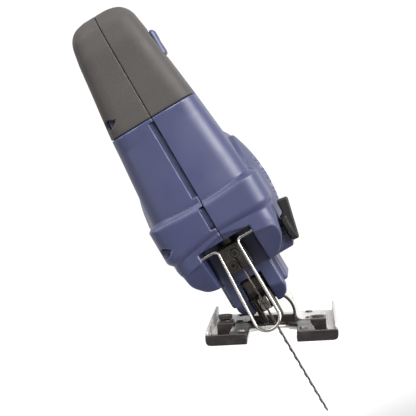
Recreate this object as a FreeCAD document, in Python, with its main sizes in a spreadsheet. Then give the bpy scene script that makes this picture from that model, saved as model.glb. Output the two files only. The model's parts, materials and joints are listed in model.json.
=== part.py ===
"""A D-handle jigsaw: clamshell body, gear train, plunger, blade, roller guide and tilting shoe.

Frame: +Z up along the plunger, the blade cuts towards -Y, +X is the tool's left side.
Origin: the point of the blade's line that lies in the sole plane, with the shoe tilted.
All sizes are millimetres. The driving sizes are in the sheet, and every piece reads them there.
"""
import FreeCAD, Part
import math
import os
import re
import Sketcher

V = FreeCAD.Vector
X_AXIS = V(1, 0, 0)
Y_AXIS = V(0, 1, 0)
Z_AXIS = V(0, 0, 1)

doc = FreeCAD.newDocument("jigsaw")
sheet = doc.addObject("Spreadsheet::Sheet", "Sizes")

SIZES = {
    # shoe
    "shoe_width": 78.0, "shoe_front": -58.0, "shoe_rear": 92.0, "shoe_gauge": 2.0,
    "flange_height": 8.5, "lip_height": 6.6, "slot_half": 14.5, "slot_neck_half": 9.0,
    "slot_shoulder": 3.0, "slot_end": 16.0, "bevel": 27.5, "bevel_axis": 8.0,
    "fence_slot_length": 16.0, "fence_slot_height": 4.2, "fence_slot_y": -34.0,
    "cover_gauge": 1.6, "cover_top": 3.6, "cover_round": 5.0, "block_top": 11.6,
    "saddle_radius": 14.0, "saddle_gauge": 1.8, "saddle_front": 26.0, "saddle_rear": 72.0,
    "saddle_foot": 30.0, "clamp_y": 48.0, "clamp_bolt": 3.0,
    "block_x": 27.5, "block_width": 9.6, "fence_bolt": 2.3,
    # body outline, seen from the side
    "nose_front": -25.0, "waist_front": -22.0, "mid_front": -19.0, "brow_front": -12.0,
    "body_low": 41.0, "rear_low": 56.0, "belt_low": 72.0, "belt_high": 93.0, "body_rear": 160.0,
    "grip_low": 152.0, "top": 224.0, "step_y": 76.0, "wall": 2.5,
    # body outline, seen from the front
    "cheek_half": 34.5, "belt_half": 37.5, "waist_half": 33.6, "grip_half": 28.7,
    "handle_half": 19.0, "handle_front": 27.0,
    # mouth, neck and foot
    "mouth_half": 17.0, "mouth_back": 8.0, "mouth_roof": 67.0, "neck_half": 17.0, "neck_low": 15.4,
    "neck_back": 24.0, "guide_half": 7.5, "guide_roof": 37.6,
    "foot_half": 20.0, "foot_front": 24.0, "foot_rear": 74.0, "foot_low": 24.0,
    "key_half": 12.0, "key_low": 20.0,
    # drive
    "motor_z": 92.0, "gear_z": 118.0, "tooth_module": 0.8, "gear_teeth": 56, "pinion_teeth": 9,
    "gear_front": 9.0, "gear_width": 6.0, "crank": 9.0, "crank_pin": 3.5, "axle": 3.0,
    "rod": 4.5, "rod_low": 60.0, "rod_high": 168.0, "yoke_half": 13.5, "yoke_height": 14.0,
    "shaft": 3.0, "core_radius": 15.5, "core_front": 52.0, "core_rear": 84.0,
    "field_front": 50.0, "field_rear": 86.0, "field_half": 24.0, "air_gap": 0.7,
    "commutator": 10.0, "commutator_front": 93.0, "commutator_rear": 106.0,
    "fan_radius": 24.0, "fan_front": 31.0, "fan_rear": 41.0,
    "front_bearing": 9.5, "rear_bearing": 8.0, "bearing_width": 6.0, "rear_bearing_y": 116.0,
    "fit": 0.05, "gap": 0.3, "frame_front": -8.0, "plate_front": 19.0, "plate_back": 23.0,
    "bush": 6.5, "rest_lift": 6.0, "pin": 1.5,
    "screw": 1.5, "screw_head": 3.0, "screw_boss": 4.0, "screw_seat": 8.0, "rivet": 1.6,
    # blade and clamp
    "blade_tip": -57.0, "blade_top": 59.0, "blade_front": -4.0, "blade_back": 3.4,
    "blade_gauge": 1.2, "tooth_pitch": 3.0, "tooth_depth": 1.6,
    "block_half": 8.0, "block_front": -8.0, "block_back": 7.0, "block_low": 44.8, "block_high": 63.0,
    "clamp_screw": 2.5,
    # roller guide
    "roller_y": 9.2, "roller_z": 20.0, "roller_radius": 5.4, "roller_half": 3.2,
    "guide_pivot_y": 17.0, "guide_pivot_z": 34.5, "guide_low": 7.5,
    # wire guard
    "wire": 1.0, "guard_y": -20.0, "guard_z": 63.0, "guard_tip": 18.5, "guard_leg": 6.8,
    "guard_bend": 3.0, "guard_foot_y": -41.0, "guard_bow_z": 15.0, "guard_bow": 8.0,
    # controls
    "trigger_y": 47.0, "trigger_half": 7.5, "trigger_length": 32.0, "trigger_low": 162.0,
    "button_y": 18.0, "button_z": 190.5, "button_half_z": 9.3, "button_half_y": 6.0,
    "button_out": 26.8, "selector_y": 6.0, "selector_z": 52.5, "selector_radius": 8.5,
    # vents, inlet, dust port
    "vent_y": 38.0, "vent_z": 86.0, "vent_radius": 33.0, "vent_out": 41.0,
    "inlet_z": 118.0, "inlet_radius": 4.2,
}
for row, (alias, value) in enumerate(SIZES.items(), start=1):
    sheet.set("A%d" % row, alias)
    sheet.set("B%d" % row, str(value))
    sheet.setAlias("B%d" % row, alias)
doc.recompute()

NODES = []
ALIAS = re.compile(r"\b(" + "|".join(SIZES) + r")\b")


def formula(value):
    """A number or a formula of aliases, as an expression that reads the sheet."""
    return ALIAS.sub(r"Sizes.\1", str(value))


def number(value):
    """The number that a formula of aliases has now."""
    if isinstance(value, (int, float)):
        return float(value)
    return float(sheet.evalExpression(formula(value)))


def bind(item, prop, value):
    """Tie one property of an object to a formula of the sheet."""
    item.setExpression(prop, formula(value))


def place(item, x=0, y=0, z=0):
    """Tie an object's position to formulas of the sheet."""
    for letter, value in zip("xyz", (x, y, z)):
        bind(item, "Placement.Base." + letter, value)
    return item


def node(item, name):
    """Give a finished piece its node name."""
    item.Label = name
    NODES.append(item)
    return item


# ---------------------------------------------------------------- primitives

def block(name, x, y, z):
    """A box between pairs of coordinates, each pair (low, high)."""
    item = doc.addObject("Part::Box", name)
    for prop, (low, high) in zip(("Length", "Width", "Height"), (x, y, z)):
        bind(item, prop, "(%s) - (%s)" % (high, low))
    return place(item, x[0], y[0], z[0])


TURN = {"x": FreeCAD.Rotation(V(0, 1, 0), 90), "y": FreeCAD.Rotation(V(1, 0, 0), -90),
        "z": FreeCAD.Rotation()}


def rod(name, along, span, centre, radius):
    """A cylinder along an axis; span is (low, high) on it, centre the other two coordinates."""
    item = doc.addObject("Part::Cylinder", name)
    item.Placement = FreeCAD.Placement(V(), TURN[along])
    bind(item, "Radius", radius)
    bind(item, "Height", "(%s) - (%s)" % (span[1], span[0]))
    low = list(centre)
    low.insert("xyz".index(along), span[0])
    return place(item, *low)


def cone(name, along, span, centre, radii):
    """A cone along an axis, with its radius at each end of the span."""
    item = doc.addObject("Part::Cone", name)
    item.Placement = FreeCAD.Placement(V(), TURN[along])
    bind(item, "Radius1", radii[0])
    bind(item, "Radius2", radii[1])
    bind(item, "Height", "(%s) - (%s)" % (span[1], span[0]))
    low = list(centre)
    low.insert("xyz".index(along), span[0])
    return place(item, *low)


def fuse(name, *items):
    if len(items) == 1:
        return items[0]
    result = doc.addObject("Part::MultiFuse", name)
    result.Shapes = list(items)
    return result


def cut(name, base, *tools):
    tool = tools[0] if len(tools) == 1 else fuse(name + "_tools", *tools)
    result = doc.addObject("Part::Cut", name)
    result.Base = base
    result.Tool = tool
    return result


def common(name, one, other):
    result = doc.addObject("Part::Common", name)
    result.Base = one
    result.Tool = other
    return result


def group(name, items):
    """Separate identical solids in one node."""
    result = doc.addObject("Part::Compound", name)
    result.Links = list(items)
    return result


# ---------------------------------------------------------------- sketched bodies

def new_body(name):
    return doc.addObject("PartDesign::Body", name)


def plane_of(body, role):
    for item in body.Origin.OriginFeatures:
        if item.Role == role:
            return item
    raise ValueError(role)


def sketch_on(body, role, name, offset=0):
    """A sketch on one of the body's own origin planes, raised by an offset."""
    sketch = body.newObject("Sketcher::SketchObject", name)
    sketch.AttachmentSupport = (plane_of(body, role), [""])
    sketch.MapMode = "FlatFace"
    bind(sketch, "AttachmentOffset.Base.z", offset)
    return sketch


def draw(sketch, corners):
    """One closed outline whose corners are tied to formulas (u, v)."""
    first = sketch.GeometryCount
    count = len(corners)
    spots = [V(number(u), number(v), 0) for u, v in corners]
    for index in range(count):
        sketch.addGeometry(Part.LineSegment(spots[index], spots[(index + 1) % count]), False)
    for index in range(count):
        following = first + (index + 1) % count
        sketch.addConstraint(Sketcher.Constraint("Coincident", first + index, 2, following, 1))
    for index, (u, v) in enumerate(corners):
        for kind, value in (("DistanceX", u), ("DistanceY", v)):
            at = sketch.addConstraint(
                Sketcher.Constraint(kind, -1, 1, first + index, 1, number(value)))
            sketch.setExpression("Constraints[%d]" % at, formula(value))
    return sketch


def draw_circle(sketch, u, v, radius):
    """One circle whose centre and radius are tied to formulas."""
    at = sketch.addGeometry(
        Part.Circle(V(number(u), number(v), 0), V(0, 0, 1), number(radius)), False)
    for kind, value in (("DistanceX", u), ("DistanceY", v)):
        tie = sketch.addConstraint(Sketcher.Constraint(kind, -1, 1, at, 3, number(value)))
        sketch.setExpression("Constraints[%d]" % tie, formula(value))
    tie = sketch.addConstraint(Sketcher.Constraint("Radius", at, number(radius)))
    sketch.setExpression("Constraints[%d]" % tie, formula(radius))
    return sketch


def pad(body, sketch, length, name, back=False, middle=False):
    item = body.newObject("PartDesign::Pad", name)
    item.Profile = sketch
    bind(item, "Length", length)
    item.Midplane = middle
    item.Reversed = back
    body.Tip = item
    doc.recompute()
    return item


def pocket(body, sketch, length, name, back=False, middle=False):
    before = body.Shape.Volume
    item = body.newObject("PartDesign::Pocket", name)
    item.Profile = sketch
    item.Midplane = middle
    item.Reversed = back
    if length is None:
        item.Type = "ThroughAll"
    else:
        bind(item, "Length", length)
    body.Tip = item
    doc.recompute()
    if not body.Shape.Volume < before - 1e-6:
        raise ValueError("pocket %s cuts nothing" % name)
    return item


def rounded(body, name, radius, along, spots, tolerance=0.05):
    """Fillet the straight edges along an axis that pass through the given (u, v) spots."""
    names = []
    keep = [index for index in range(3) if index != "xyz".index(along)]
    for index, edge in enumerate(body.Shape.Edges, start=1):
        ends = [vertex.Point for vertex in edge.Vertexes]
        if len(ends) != 2:
            continue
        direction = (ends[1] - ends[0]).normalize()
        if abs(direction.dot((X_AXIS, Y_AXIS, Z_AXIS)["xyz".index(along)])) < 0.999:
            continue
        for u, v in spots:
            away = max(abs(ends[0][keep[0]] - number(u)), abs(ends[0][keep[1]] - number(v)))
            if away < tolerance:
                names.append("Edge%d" % index)
    base = body.Tip
    item = body.newObject("PartDesign::Fillet", name)
    item.Base = (base, names)
    bind(item, "Radius", radius)
    body.Tip = item
    doc.recompute()
    return item


# ---------------------------------------------------------------- clamshell body

SIDE_VIEW = [
    ("nose_front", "mouth_roof - 3"), ("nose_front", "belt_high - 1"), ("waist_front", "belt_high + 3"),
    ("mid_front", "grip_low"), ("brow_front", 204), (-7, 216), (2, "top - 1.5"), (12, "top"),
    (60, 216), (104, 199), (136, 180), (154, 160), ("body_rear", 140), ("body_rear", 78),
    (156, 62), (148, "rear_low"), ("step_y + 4", "rear_low"), ("step_y", "body_low"),
    ("nose_front + 3", "body_low"),
]
FRONT_VIEW = [
    (0, "top"), (7, "top - 0.8"), (13, "top - 3.6"), (17.8, "top - 8.4"), (20.8, "top - 16"),
    (22.6, "top - 24"), (24.5, 185), (26.7, 169.5), ("grip_half", "grip_low"), (30.4, 145),
    (33, 108), ("waist_half", "belt_high + 3"), ("belt_half", "belt_high - 1"),
    ("belt_half", "belt_low"), ("cheek_half + 0.8", "belt_low - 5"), ("cheek_half", 62),
    ("cheek_half", "body_low"), (0, "body_low"),
]
WINDOW = [
    ("handle_front", 138), ("handle_front", 158), (36, 170), (50, 175), (84, 172), (112, 162),
    (128, 149), (128, 139), (122, 133), (34, 133),
]
# y, z of each clamshell screw, and how far its boss stands from the parting plane
SCREWS = [(-13.5, 161, 20), (-20, 77.5, 29), (44, 126, 29.5), (74, 126, 29.5), (106, 122, 29.5),
          (142, 150, 17.5), (144, 68, 22), (66, 52, 33)]


def mirrored(corners, side):
    """The outline on one side of the parting plane."""
    return [("%d * (%s)" % (side, u), v) for u, v in corners]


def trim_outside(body, side, name, corners):
    """Cut away what lies outside a front-view outline, along the whole length."""
    far = 60
    outside = corners + [(0, 20), (far, 20), (far, "top + 20"), (0, "top + 20")]
    sketch = sketch_on(body, "XZ_Plane", name + "_outline")
    draw(sketch, mirrored(outside, side))
    pocket(body, sketch, None, name, middle=True)


def shell(side, name):
    """One half of the body before its screw holes: outer form, mouth, neck, foot and hollow."""
    body = new_body(name + "_form")
    back = side < 0

    def area(role, corners, label, offset=0):
        return draw(sketch_on(body, role, label, offset), corners)

    pad(body, area("YZ_Plane", SIDE_VIEW, "side_view"), "belt_half + 1", "Bulk", back)
    trim_outside(body, side, "Flanks", FRONT_VIEW)
    slim = mirrored([("handle_half", 132), ("handle_half", "top + 5"), (50, "top + 5"), (50, 132)], side)
    slim_sketch = area("XZ_Plane", slim, "handle_sides", "-handle_front")
    pocket(body, slim_sketch, 150, "HandleSides", back=False)
    tail = mirrored([(50, 100), ("belt_half", 100), ("waist_half", 110), (28, 140), (22, 165), (50, 165)],
                    side)
    pocket(body, area("XY_Plane", tail, "tail_sides"), None, "TailSides", middle=True)
    pocket(body, area("YZ_Plane", WINDOW, "window"), None, "Window", middle=True)
    foot = [("foot_front", "body_low + 6"), ("foot_front", "foot_low"), ("foot_rear", "foot_low"),
            ("foot_rear", "body_low + 6")]
    pad(body, area("YZ_Plane", foot, "foot_side"), "foot_half", "Foot", back)
    key = [("foot_front", "foot_low + 1"), ("foot_front", "key_low"), ("foot_rear", "key_low"),
           ("foot_rear", "foot_low + 1")]
    pad(body, area("YZ_Plane", key, "key_side"), "key_half", "Key", back)
    neck = mirrored([(0, "body_low + 6"), ("neck_half", "body_low + 6"), ("neck_half", 23),
                     ("neck_half - 1.6", 18.6), ("neck_half - 4.6", "neck_low"), (0, "neck_low")], side)
    neck_sketch = area("XZ_Plane", neck, "neck_front", "-mouth_back")
    pad(body, neck_sketch, "neck_back - mouth_back", "Neck", back=True)
    dome = body.newObject("Sketcher::SketchObject", "vent_profile")
    dome.AttachmentSupport = (plane_of(body, "XY_Plane"), [""])
    dome.MapMode = "FlatFace"
    bind(dome, "AttachmentOffset.Base.z", "vent_z")
    arch = [(30, "vent_y"), ("vent_out", "vent_y"), ("vent_out - 0.7", "vent_y + vent_radius * 0.35"),
            ("vent_out - 3", "vent_y + vent_radius * 0.7"), ("vent_out - 6", "vent_y + vent_radius"),
            (30, "vent_y + vent_radius")]
    draw(dome, mirrored(arch, side))
    bulge = body.newObject("PartDesign::Revolution", "VentBulge")
    bulge.Profile = dome
    axis_line = Part.LineSegment(V(0, number("vent_y"), 0), V(50 * side, number("vent_y"), 0))
    dome.addGeometry(axis_line, True)
    bulge.ReferenceAxis = (dome, ["Axis0"])
    bulge.Angle = 360
    body.Tip = bulge
    doc.recompute()

    main_hollow = [("nose_front + wall + 1", "belt_low"), ("waist_front + wall + 1", "belt_high + 4"),
                   ("mid_front + wall + 1", 128), (126, 128), (126, 60), ("mouth_back + 6", 60),
                   ("mouth_back + 6", "belt_low")]
    pocket(body, area("YZ_Plane", main_hollow, "main_hollow"), 28.5, "MainHollow", back=not back)
    tail_hollow = [(125, 128), ("body_rear - wall", 128), ("body_rear - wall", 80), (152, 60), (125, 60)]
    pocket(body, area("YZ_Plane", tail_hollow, "tail_hollow"), 19, "TailHollow", back=not back)
    foot_hollow = [(30, 44), (30, 58), (72, 58), (72, 44)]
    pocket(body, area("YZ_Plane", foot_hollow, "foot_hollow"), "cheek_half - wall", "FootHollow",
           back=not back)
    low_hollow = [(14, 60), (14, "belt_high - 2"), (100, "belt_high - 2"), (100, 60)]
    pocket(body, area("YZ_Plane", low_hollow, "low_hollow"), "cheek_half - wall", "LowHollow", back=not back)
    brow_hollow = [("mid_front + wall + 1", 127), (-13, 165), ("handle_front - wall", 165),
                   ("handle_front - wall", 127)]
    pocket(body, area("YZ_Plane", brow_hollow, "brow_hollow"), 23, "BrowHollow", back=not back)
    crown_hollow = [(-13, 164), (-7, 206), (50, 207), (102, 193), (132, 176), (150, 157), (155, 139),
                    (155, 127), (131, 127), (131, 151), (114, 165), (84, 175), (50, 178), (36, 173),
                    ("handle_front - wall", 164)]
    pocket(body, area("YZ_Plane", crown_hollow, "crown_hollow"), "handle_half - wall", "CrownHollow",
           back=not back)
    mouth = [("nose_front - 5", 30), ("nose_front - 5", "mouth_roof"), ("mouth_back", "mouth_roof"),
             ("mouth_back", 30)]
    pocket(body, area("YZ_Plane", mouth, "mouth"), "mouth_half", "Mouth", back=not back)
    guide = [("mouth_back - 1", 10), ("mouth_back - 1", "guide_roof"), ("neck_back + 0.1", "guide_roof"),
             ("neck_back + 0.1", 10)]
    pocket(body, area("YZ_Plane", guide, "guide_slot"), "guide_half", "GuideSlot", back=not back)

    for index, (y, z, reach) in enumerate(SCREWS):
        boss = draw_circle(sketch_on(body, "YZ_Plane", "boss_%d" % index), y, z, "screw_boss")
        pad(body, boss, reach, "Boss%d" % index, back)
    seat = [(115, 78), (115, 106), (123, 106), (123, 78)]
    pad(body, area("YZ_Plane", seat, "bearing_seat"), 29, "BearingSeat", back)
    for index, y in enumerate((54, 78)):
        rib = [(y, 60), (y, 128), (y + 2.5, 128), (y + 2.5, 60)]
        pad(body, area("YZ_Plane", rib, "field_rib_%d" % index), 29, "FieldRib%d" % index, back)
    nut = [(40, 43), (40, 59), (56, 59), (56, 43)]
    pad(body, area("YZ_Plane", nut, "bolt_boss"), 8, "BoltBoss", back)
    return body


def vent_slots(side, name):
    """Louvre openings in the vent bulge, as one cutting group."""
    slots = []
    for index in range(5):
        low = "vent_z - 13 + %g" % (index * 5.5)
        span = (30, 45) if side > 0 else (-45, -30)
        slots.append(block("%s_louvre_%d" % (name, index), span, ("vent_y - 11", "vent_y + 11"),
                           (low, low + " + 2.6")))
    return slots


def covers(side, name):
    """The soft grip shell of one side: a strip over the front and top, and a side panel."""
    body = new_body(name + "_form")
    back = side < 0
    strip = [("mid_front", "grip_low"), ("brow_front", 204), (-7, 216), (2, "top - 1.5"), (12, "top"),
             (60, 216), (104, 199), ("104 - 1", "199 - wall"), (60, "216 - wall"), (12, "top - wall"),
             (3, "top - 2 - wall"), (-4.6, 214), ("brow_front + wall", 203), ("mid_front + wall", "grip_low")]
    pad(body, draw(sketch_on(body, "YZ_Plane", "strip"), strip), "grip_half", "Strip", back)
    outer = FRONT_VIEW[:9]
    inner = [("grip_half - wall", "grip_low"), (24.2, 169.5), (22, 185), (20.1, "top - 24"),
             (18.3, "top - 16.5"), (15.6, "top - 9.6"), (11.6, "top - 5.6"), (6.4, "top - wall - 0.9"),
             (0, "top - wall")]
    ring = draw(sketch_on(body, "XZ_Plane", "panel", "-mid_front"), mirrored(outer + inner, side))
    pad(body, ring, "handle_front - mid_front - 2", "Panel", back=True)
    outside = outer + [("grip_half", 140), (60, 140), (60, "top + 20"), (0, "top + 20")]
    trim = draw(sketch_on(body, "XZ_Plane", "flanks"), mirrored(outside, side))
    pocket(body, trim, None, "Flanks", middle=True)
    slim = mirrored([("handle_half", 140), ("handle_half", "top + 5"), (50, "top + 5"), (50, 140)], side)
    pocket(body, draw(sketch_on(body, "XZ_Plane", "handle_sides", "-handle_front"), slim), 150,
           "HandleSides", back=False)
    before_front = [(-60, 140), (-60, "top + 20"), (12, "top + 20"), (12, "top"), (2, "top - 1.5"),
                    (-7, 216), ("brow_front", 204), ("mid_front", "grip_low"), ("mid_front", 140)]
    front_trim = draw(sketch_on(body, "YZ_Plane", "front_trim"), before_front)
    pocket(body, front_trim, None, "FrontTrim", middle=True)
    return body


def screw_rod(name, y, z, low, high, radius):
    return rod(name, "x", (low, high), (y, z), radius)


def housing():
    """Both halves, their grip covers and the screws that hold them together."""
    pivot_z = "bevel_axis / cos(bevel * 1 deg)"
    button = ("button_y - button_half_y - gap", "button_y + button_half_y + gap")
    button_z = ("button_z - button_half_z - gap", "button_z + button_half_z + gap")
    for side, name in ((1, "left"), (-1, "right")):
        cover = covers(side, "grip_cover_" + name)
        form = shell(side, "housing_" + name)
        tools = vent_slots(side, name) + [cover]
        holes = []
        for index, (y, z, reach) in enumerate(SCREWS):
            label = "%s_screw_%d" % (name, index)
            if side > 0:
                tools.append(screw_rod(label, y, z, -1, 13.5, "screw"))
            else:
                tools.append(screw_rod(label, y, z, -60, 1, "screw + 0.3"))
                holes.append(screw_rod(label + "_head", y, z, -60, "-screw_seat", "screw_head + 0.2"))
        tools.append(rod(name + "_saddle_room", "y", ("foot_front - 1", "foot_rear + 1"), (0, pivot_z),
                         "saddle_radius + gap"))
        tools.append(rod(name + "_inlet", "y", (145, "body_rear + 5"), (0, "inlet_z"), "inlet_radius + 2"))
        tools.append(rod(name + "_plunger_way", "z", (64, 74), (0, 0), "rod + 1"))
        tools.append(rod(name + "_guide_pin", "x", (-12, 12), ("guide_pivot_y", "guide_pivot_z"), "pin"))
        tools.append(rod(name + "_guard_hole", "x", ("-guard_tip - 0.3", "guard_tip + 0.3"),
                         ("guard_y", "guard_z"), "wire + fit"))
        tools.append(rod(name + "_motor_way", "y", (24, 125), (0, "motor_z"), "rear_bearing"))
        tools.append(field_block(name + "_field_room"))
        tools.append(rod(name + "_clamp_bolt", "z", (15, 44), (0, "clamp_y"), "clamp_bolt"))
        tools.append(block(name + "_trigger_slot", ("-trigger_half - gap", "trigger_half + gap"),
                           ("trigger_y - trigger_length / 2 - gap", "trigger_y + trigger_length / 2 + gap"),
                           (160, 183)))
        if side > 0:
            holes.append(block("button_way", (12, 40), button, button_z))
            tools.append(rod("selector_way", "x", (24, 40), ("selector_y", "selector_z"), "pin * 2 + fit"))
        tools.append(fuse(name + "_shared_holes", *holes))
        node(cut("housing_" + name, form, *tools), "housing_" + name)
        node(cut("grip_cover_" + name, cover, tools[-1]), "grip_cover_" + name)


def field_block(name):
    """The stator's outside: a block with its four long corners cut off."""
    body = new_body(name)
    half = "field_half"
    corner = "field_half - 7"
    corners = [(half, "motor_z + " + corner), (corner, "motor_z + " + half),
               ("-(%s)" % corner, "motor_z + " + half), ("-" + half, "motor_z + " + corner),
               ("-" + half, "motor_z - (%s)" % corner), ("-(%s)" % corner, "motor_z - " + half),
               (corner, "motor_z - " + half), (half, "motor_z - (%s)" % corner)]
    sketch = draw(sketch_on(body, "XZ_Plane", "field_outline", "-field_front"), corners)
    pad(body, sketch, "field_rear - field_front", "Stack", back=True)
    return body


def housing_screws():
    """The clamshell screws: pan heads with a cross recess, all alike."""
    screws = []
    for index, (y, z, reach) in enumerate(SCREWS):
        label = "clamshell_screw_%d" % index
        head = rod(label + "_head", "x", ("-screw_seat - 2.4", "-screw_seat"), (y, z), "screw_head")
        shank = rod(label + "_shank", "x", ("-screw_seat", 13), (y, z), "screw")
        recess = [block(label + "_slot_y", ("-screw_seat - 3", "-screw_seat - 1.2"), (y - 1.7, y + 1.7),
                        (z - 0.4, z + 0.4)),
                  block(label + "_slot_z", ("-screw_seat - 3", "-screw_seat - 1.2"), (y - 0.4, y + 0.4),
                        (z - 1.7, z + 1.7))]
        screws.append(cut(label, fuse(label + "_solid", head, shank), *recess))
    node(group("housing_screws", screws), "housing_screws")


# ---------------------------------------------------------------- gearbox and plunger

def gear_frame():
    """The cast frame: a back plate with an arm above and below that guide the plunger."""
    body = new_body("gear_frame_form")
    side = [("frame_front", "belt_low"), ("frame_front", 84), ("plate_front", 84), ("plate_front", 143),
            ("frame_front", 143), ("frame_front", 151), ("plate_back", 151), ("plate_back", "belt_low")]
    pad(body, draw(sketch_on(body, "YZ_Plane", "frame_side"), side), 24, "Arms", middle=True)
    ears = [("plate_front", 98), ("plate_front", 124), ("plate_back", 124), ("plate_back", 98)]
    pad(body, draw(sketch_on(body, "YZ_Plane", "frame_ears"), ears), 56, "Ears", middle=True)
    holes = [rod("frame_plunger_hole", "z", (70, 155), (0, 0), "bush"),
             rod("frame_bearing_seat", "y", ("plate_back - bearing_width", "plate_back + 1"), (0, "motor_z"),
                 "front_bearing"),
             rod("frame_axle_hole", "y", ("plate_front - 1", "plate_back + 1"), (0, "gear_z"), "axle"),
             rod("frame_pinion_way", "y", ("plate_front - 3", "plate_back"), (0, "motor_z"), 6)]
    node(cut("gear_frame", body, *holes), "gear_frame")
    for name, low, high in (("lower", "belt_low", 84), ("upper", 143, 151)):
        outer = rod("bush_%s_outer" % name, "z", (low, high), (0, 0), "bush")
        inner = rod("bush_%s_bore" % name, "z", ("%s - 1" % low, "%s + 1" % high), (0, 0), "rod + fit")
        node(cut("plunger_bush_" + name, outer, inner), "plunger_bush_" + name)
    node(rod("gear_axle", "y", ("gear_front", "plate_back"), (0, "gear_z"), "axle"), "gear_axle")


def toothed(name, teeth, z, front, width, turn):
    """A spur gear about Y: a root disc and one tooth, patterned round it."""
    body = new_body(name)
    root = "(tooth_module * (%d - 2.5) / 2)" % teeth
    tip = "(tooth_module * (%d + 1.9) / 2)" % teeth
    disc = draw_circle(sketch_on(body, "XZ_Plane", name + "_disc"), 0, 0, root)
    pad(body, disc, width, "Disc", back=True)
    foot, crest = "(tooth_module * 0.92)", "(tooth_module * 0.36)"
    low = "(%s - 0.3)" % root
    flank = [("-" + foot, low), (foot, low), (crest, tip), ("-" + crest, tip)]
    pad(body, draw(sketch_on(body, "XZ_Plane", name + "_tooth"), flank), width, "Tooth", back=True)
    ring = body.newObject("PartDesign::PolarPattern", "Teeth")
    ring.Originals = [body.Tip]
    ring.Axis = (plane_of(body, "Y_Axis"), [""])
    ring.Angle = 360
    ring.Occurrences = teeth
    body.Tip = ring
    doc.recompute()
    body.Placement = FreeCAD.Placement(V(), FreeCAD.Rotation(Y_AXIS, turn))
    return place(body, 0, front, z)


def gears():
    """The crank gear with its eccentric pin, the orbit cam behind it, and the pinion."""
    lift = "asin(rest_lift / crank)"
    wheel = toothed("gear_blank", SIZES["gear_teeth"], "gear_z", "gear_front", "gear_width", 0)
    pin = rod("crank_pin", "y", ("gear_front - 3.8", "gear_front + 1"),
              ("crank * cos(%s)" % lift, "gear_z + rest_lift"), "crank_pin")
    hub = rod("gear_hub", "y", ("gear_front + gear_width - 1", "plate_front - gap"), (0, "gear_z"), 6)
    bore = rod("gear_bore", "y", ("gear_front - 1", "plate_front + 1"), (0, "gear_z"), "axle + fit")
    lighten = [rod("gear_hole_%d" % angle, "y", ("gear_front - 1", "gear_front + gear_width + 1"),
                   ("12.5 * sin(%d deg)" % angle, "gear_z + 12.5 * cos(%d deg)" % angle), 4)
               for angle in (0, 55, 180, 235, 300)]
    node(cut("drive_gear", fuse("gear_solid", wheel, pin, hub), bore, *lighten), "drive_gear")
    half_tooth = 180.0 / SIZES["pinion_teeth"]
    node(toothed("pinion", SIZES["pinion_teeth"], "motor_z", "gear_front", "gear_width + 1", half_tooth),
         "pinion")


def plunger():
    """The plunger rod with the slotted yoke that the crank pin runs in."""
    stem = rod("plunger_stem", "z", ("rod_low", "rod_high"), (0, 0), "rod")
    yoke_z = "(gear_z + rest_lift)"
    yoke = block("plunger_yoke", ("-yoke_half", "yoke_half"), ("-rod", "rod"),
                 (yoke_z + " - yoke_height / 2", yoke_z + " + yoke_height / 2"))
    way = "(crank_pin + 0.1)"
    slot = block("yoke_slot", ("-crank", "crank"), (-1.5, "rod + 1"),
                 (yoke_z + " - " + way, yoke_z + " + " + way))
    ends = [rod("yoke_end_%s" % side, "y", (-1.5, "rod + 1"), (at, yoke_z), way)
            for side, at in (("left", "crank"), ("right", "-crank"))]
    node(cut("plunger", fuse("plunger_solid", stem, yoke), slot, *ends), "plunger")


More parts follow.
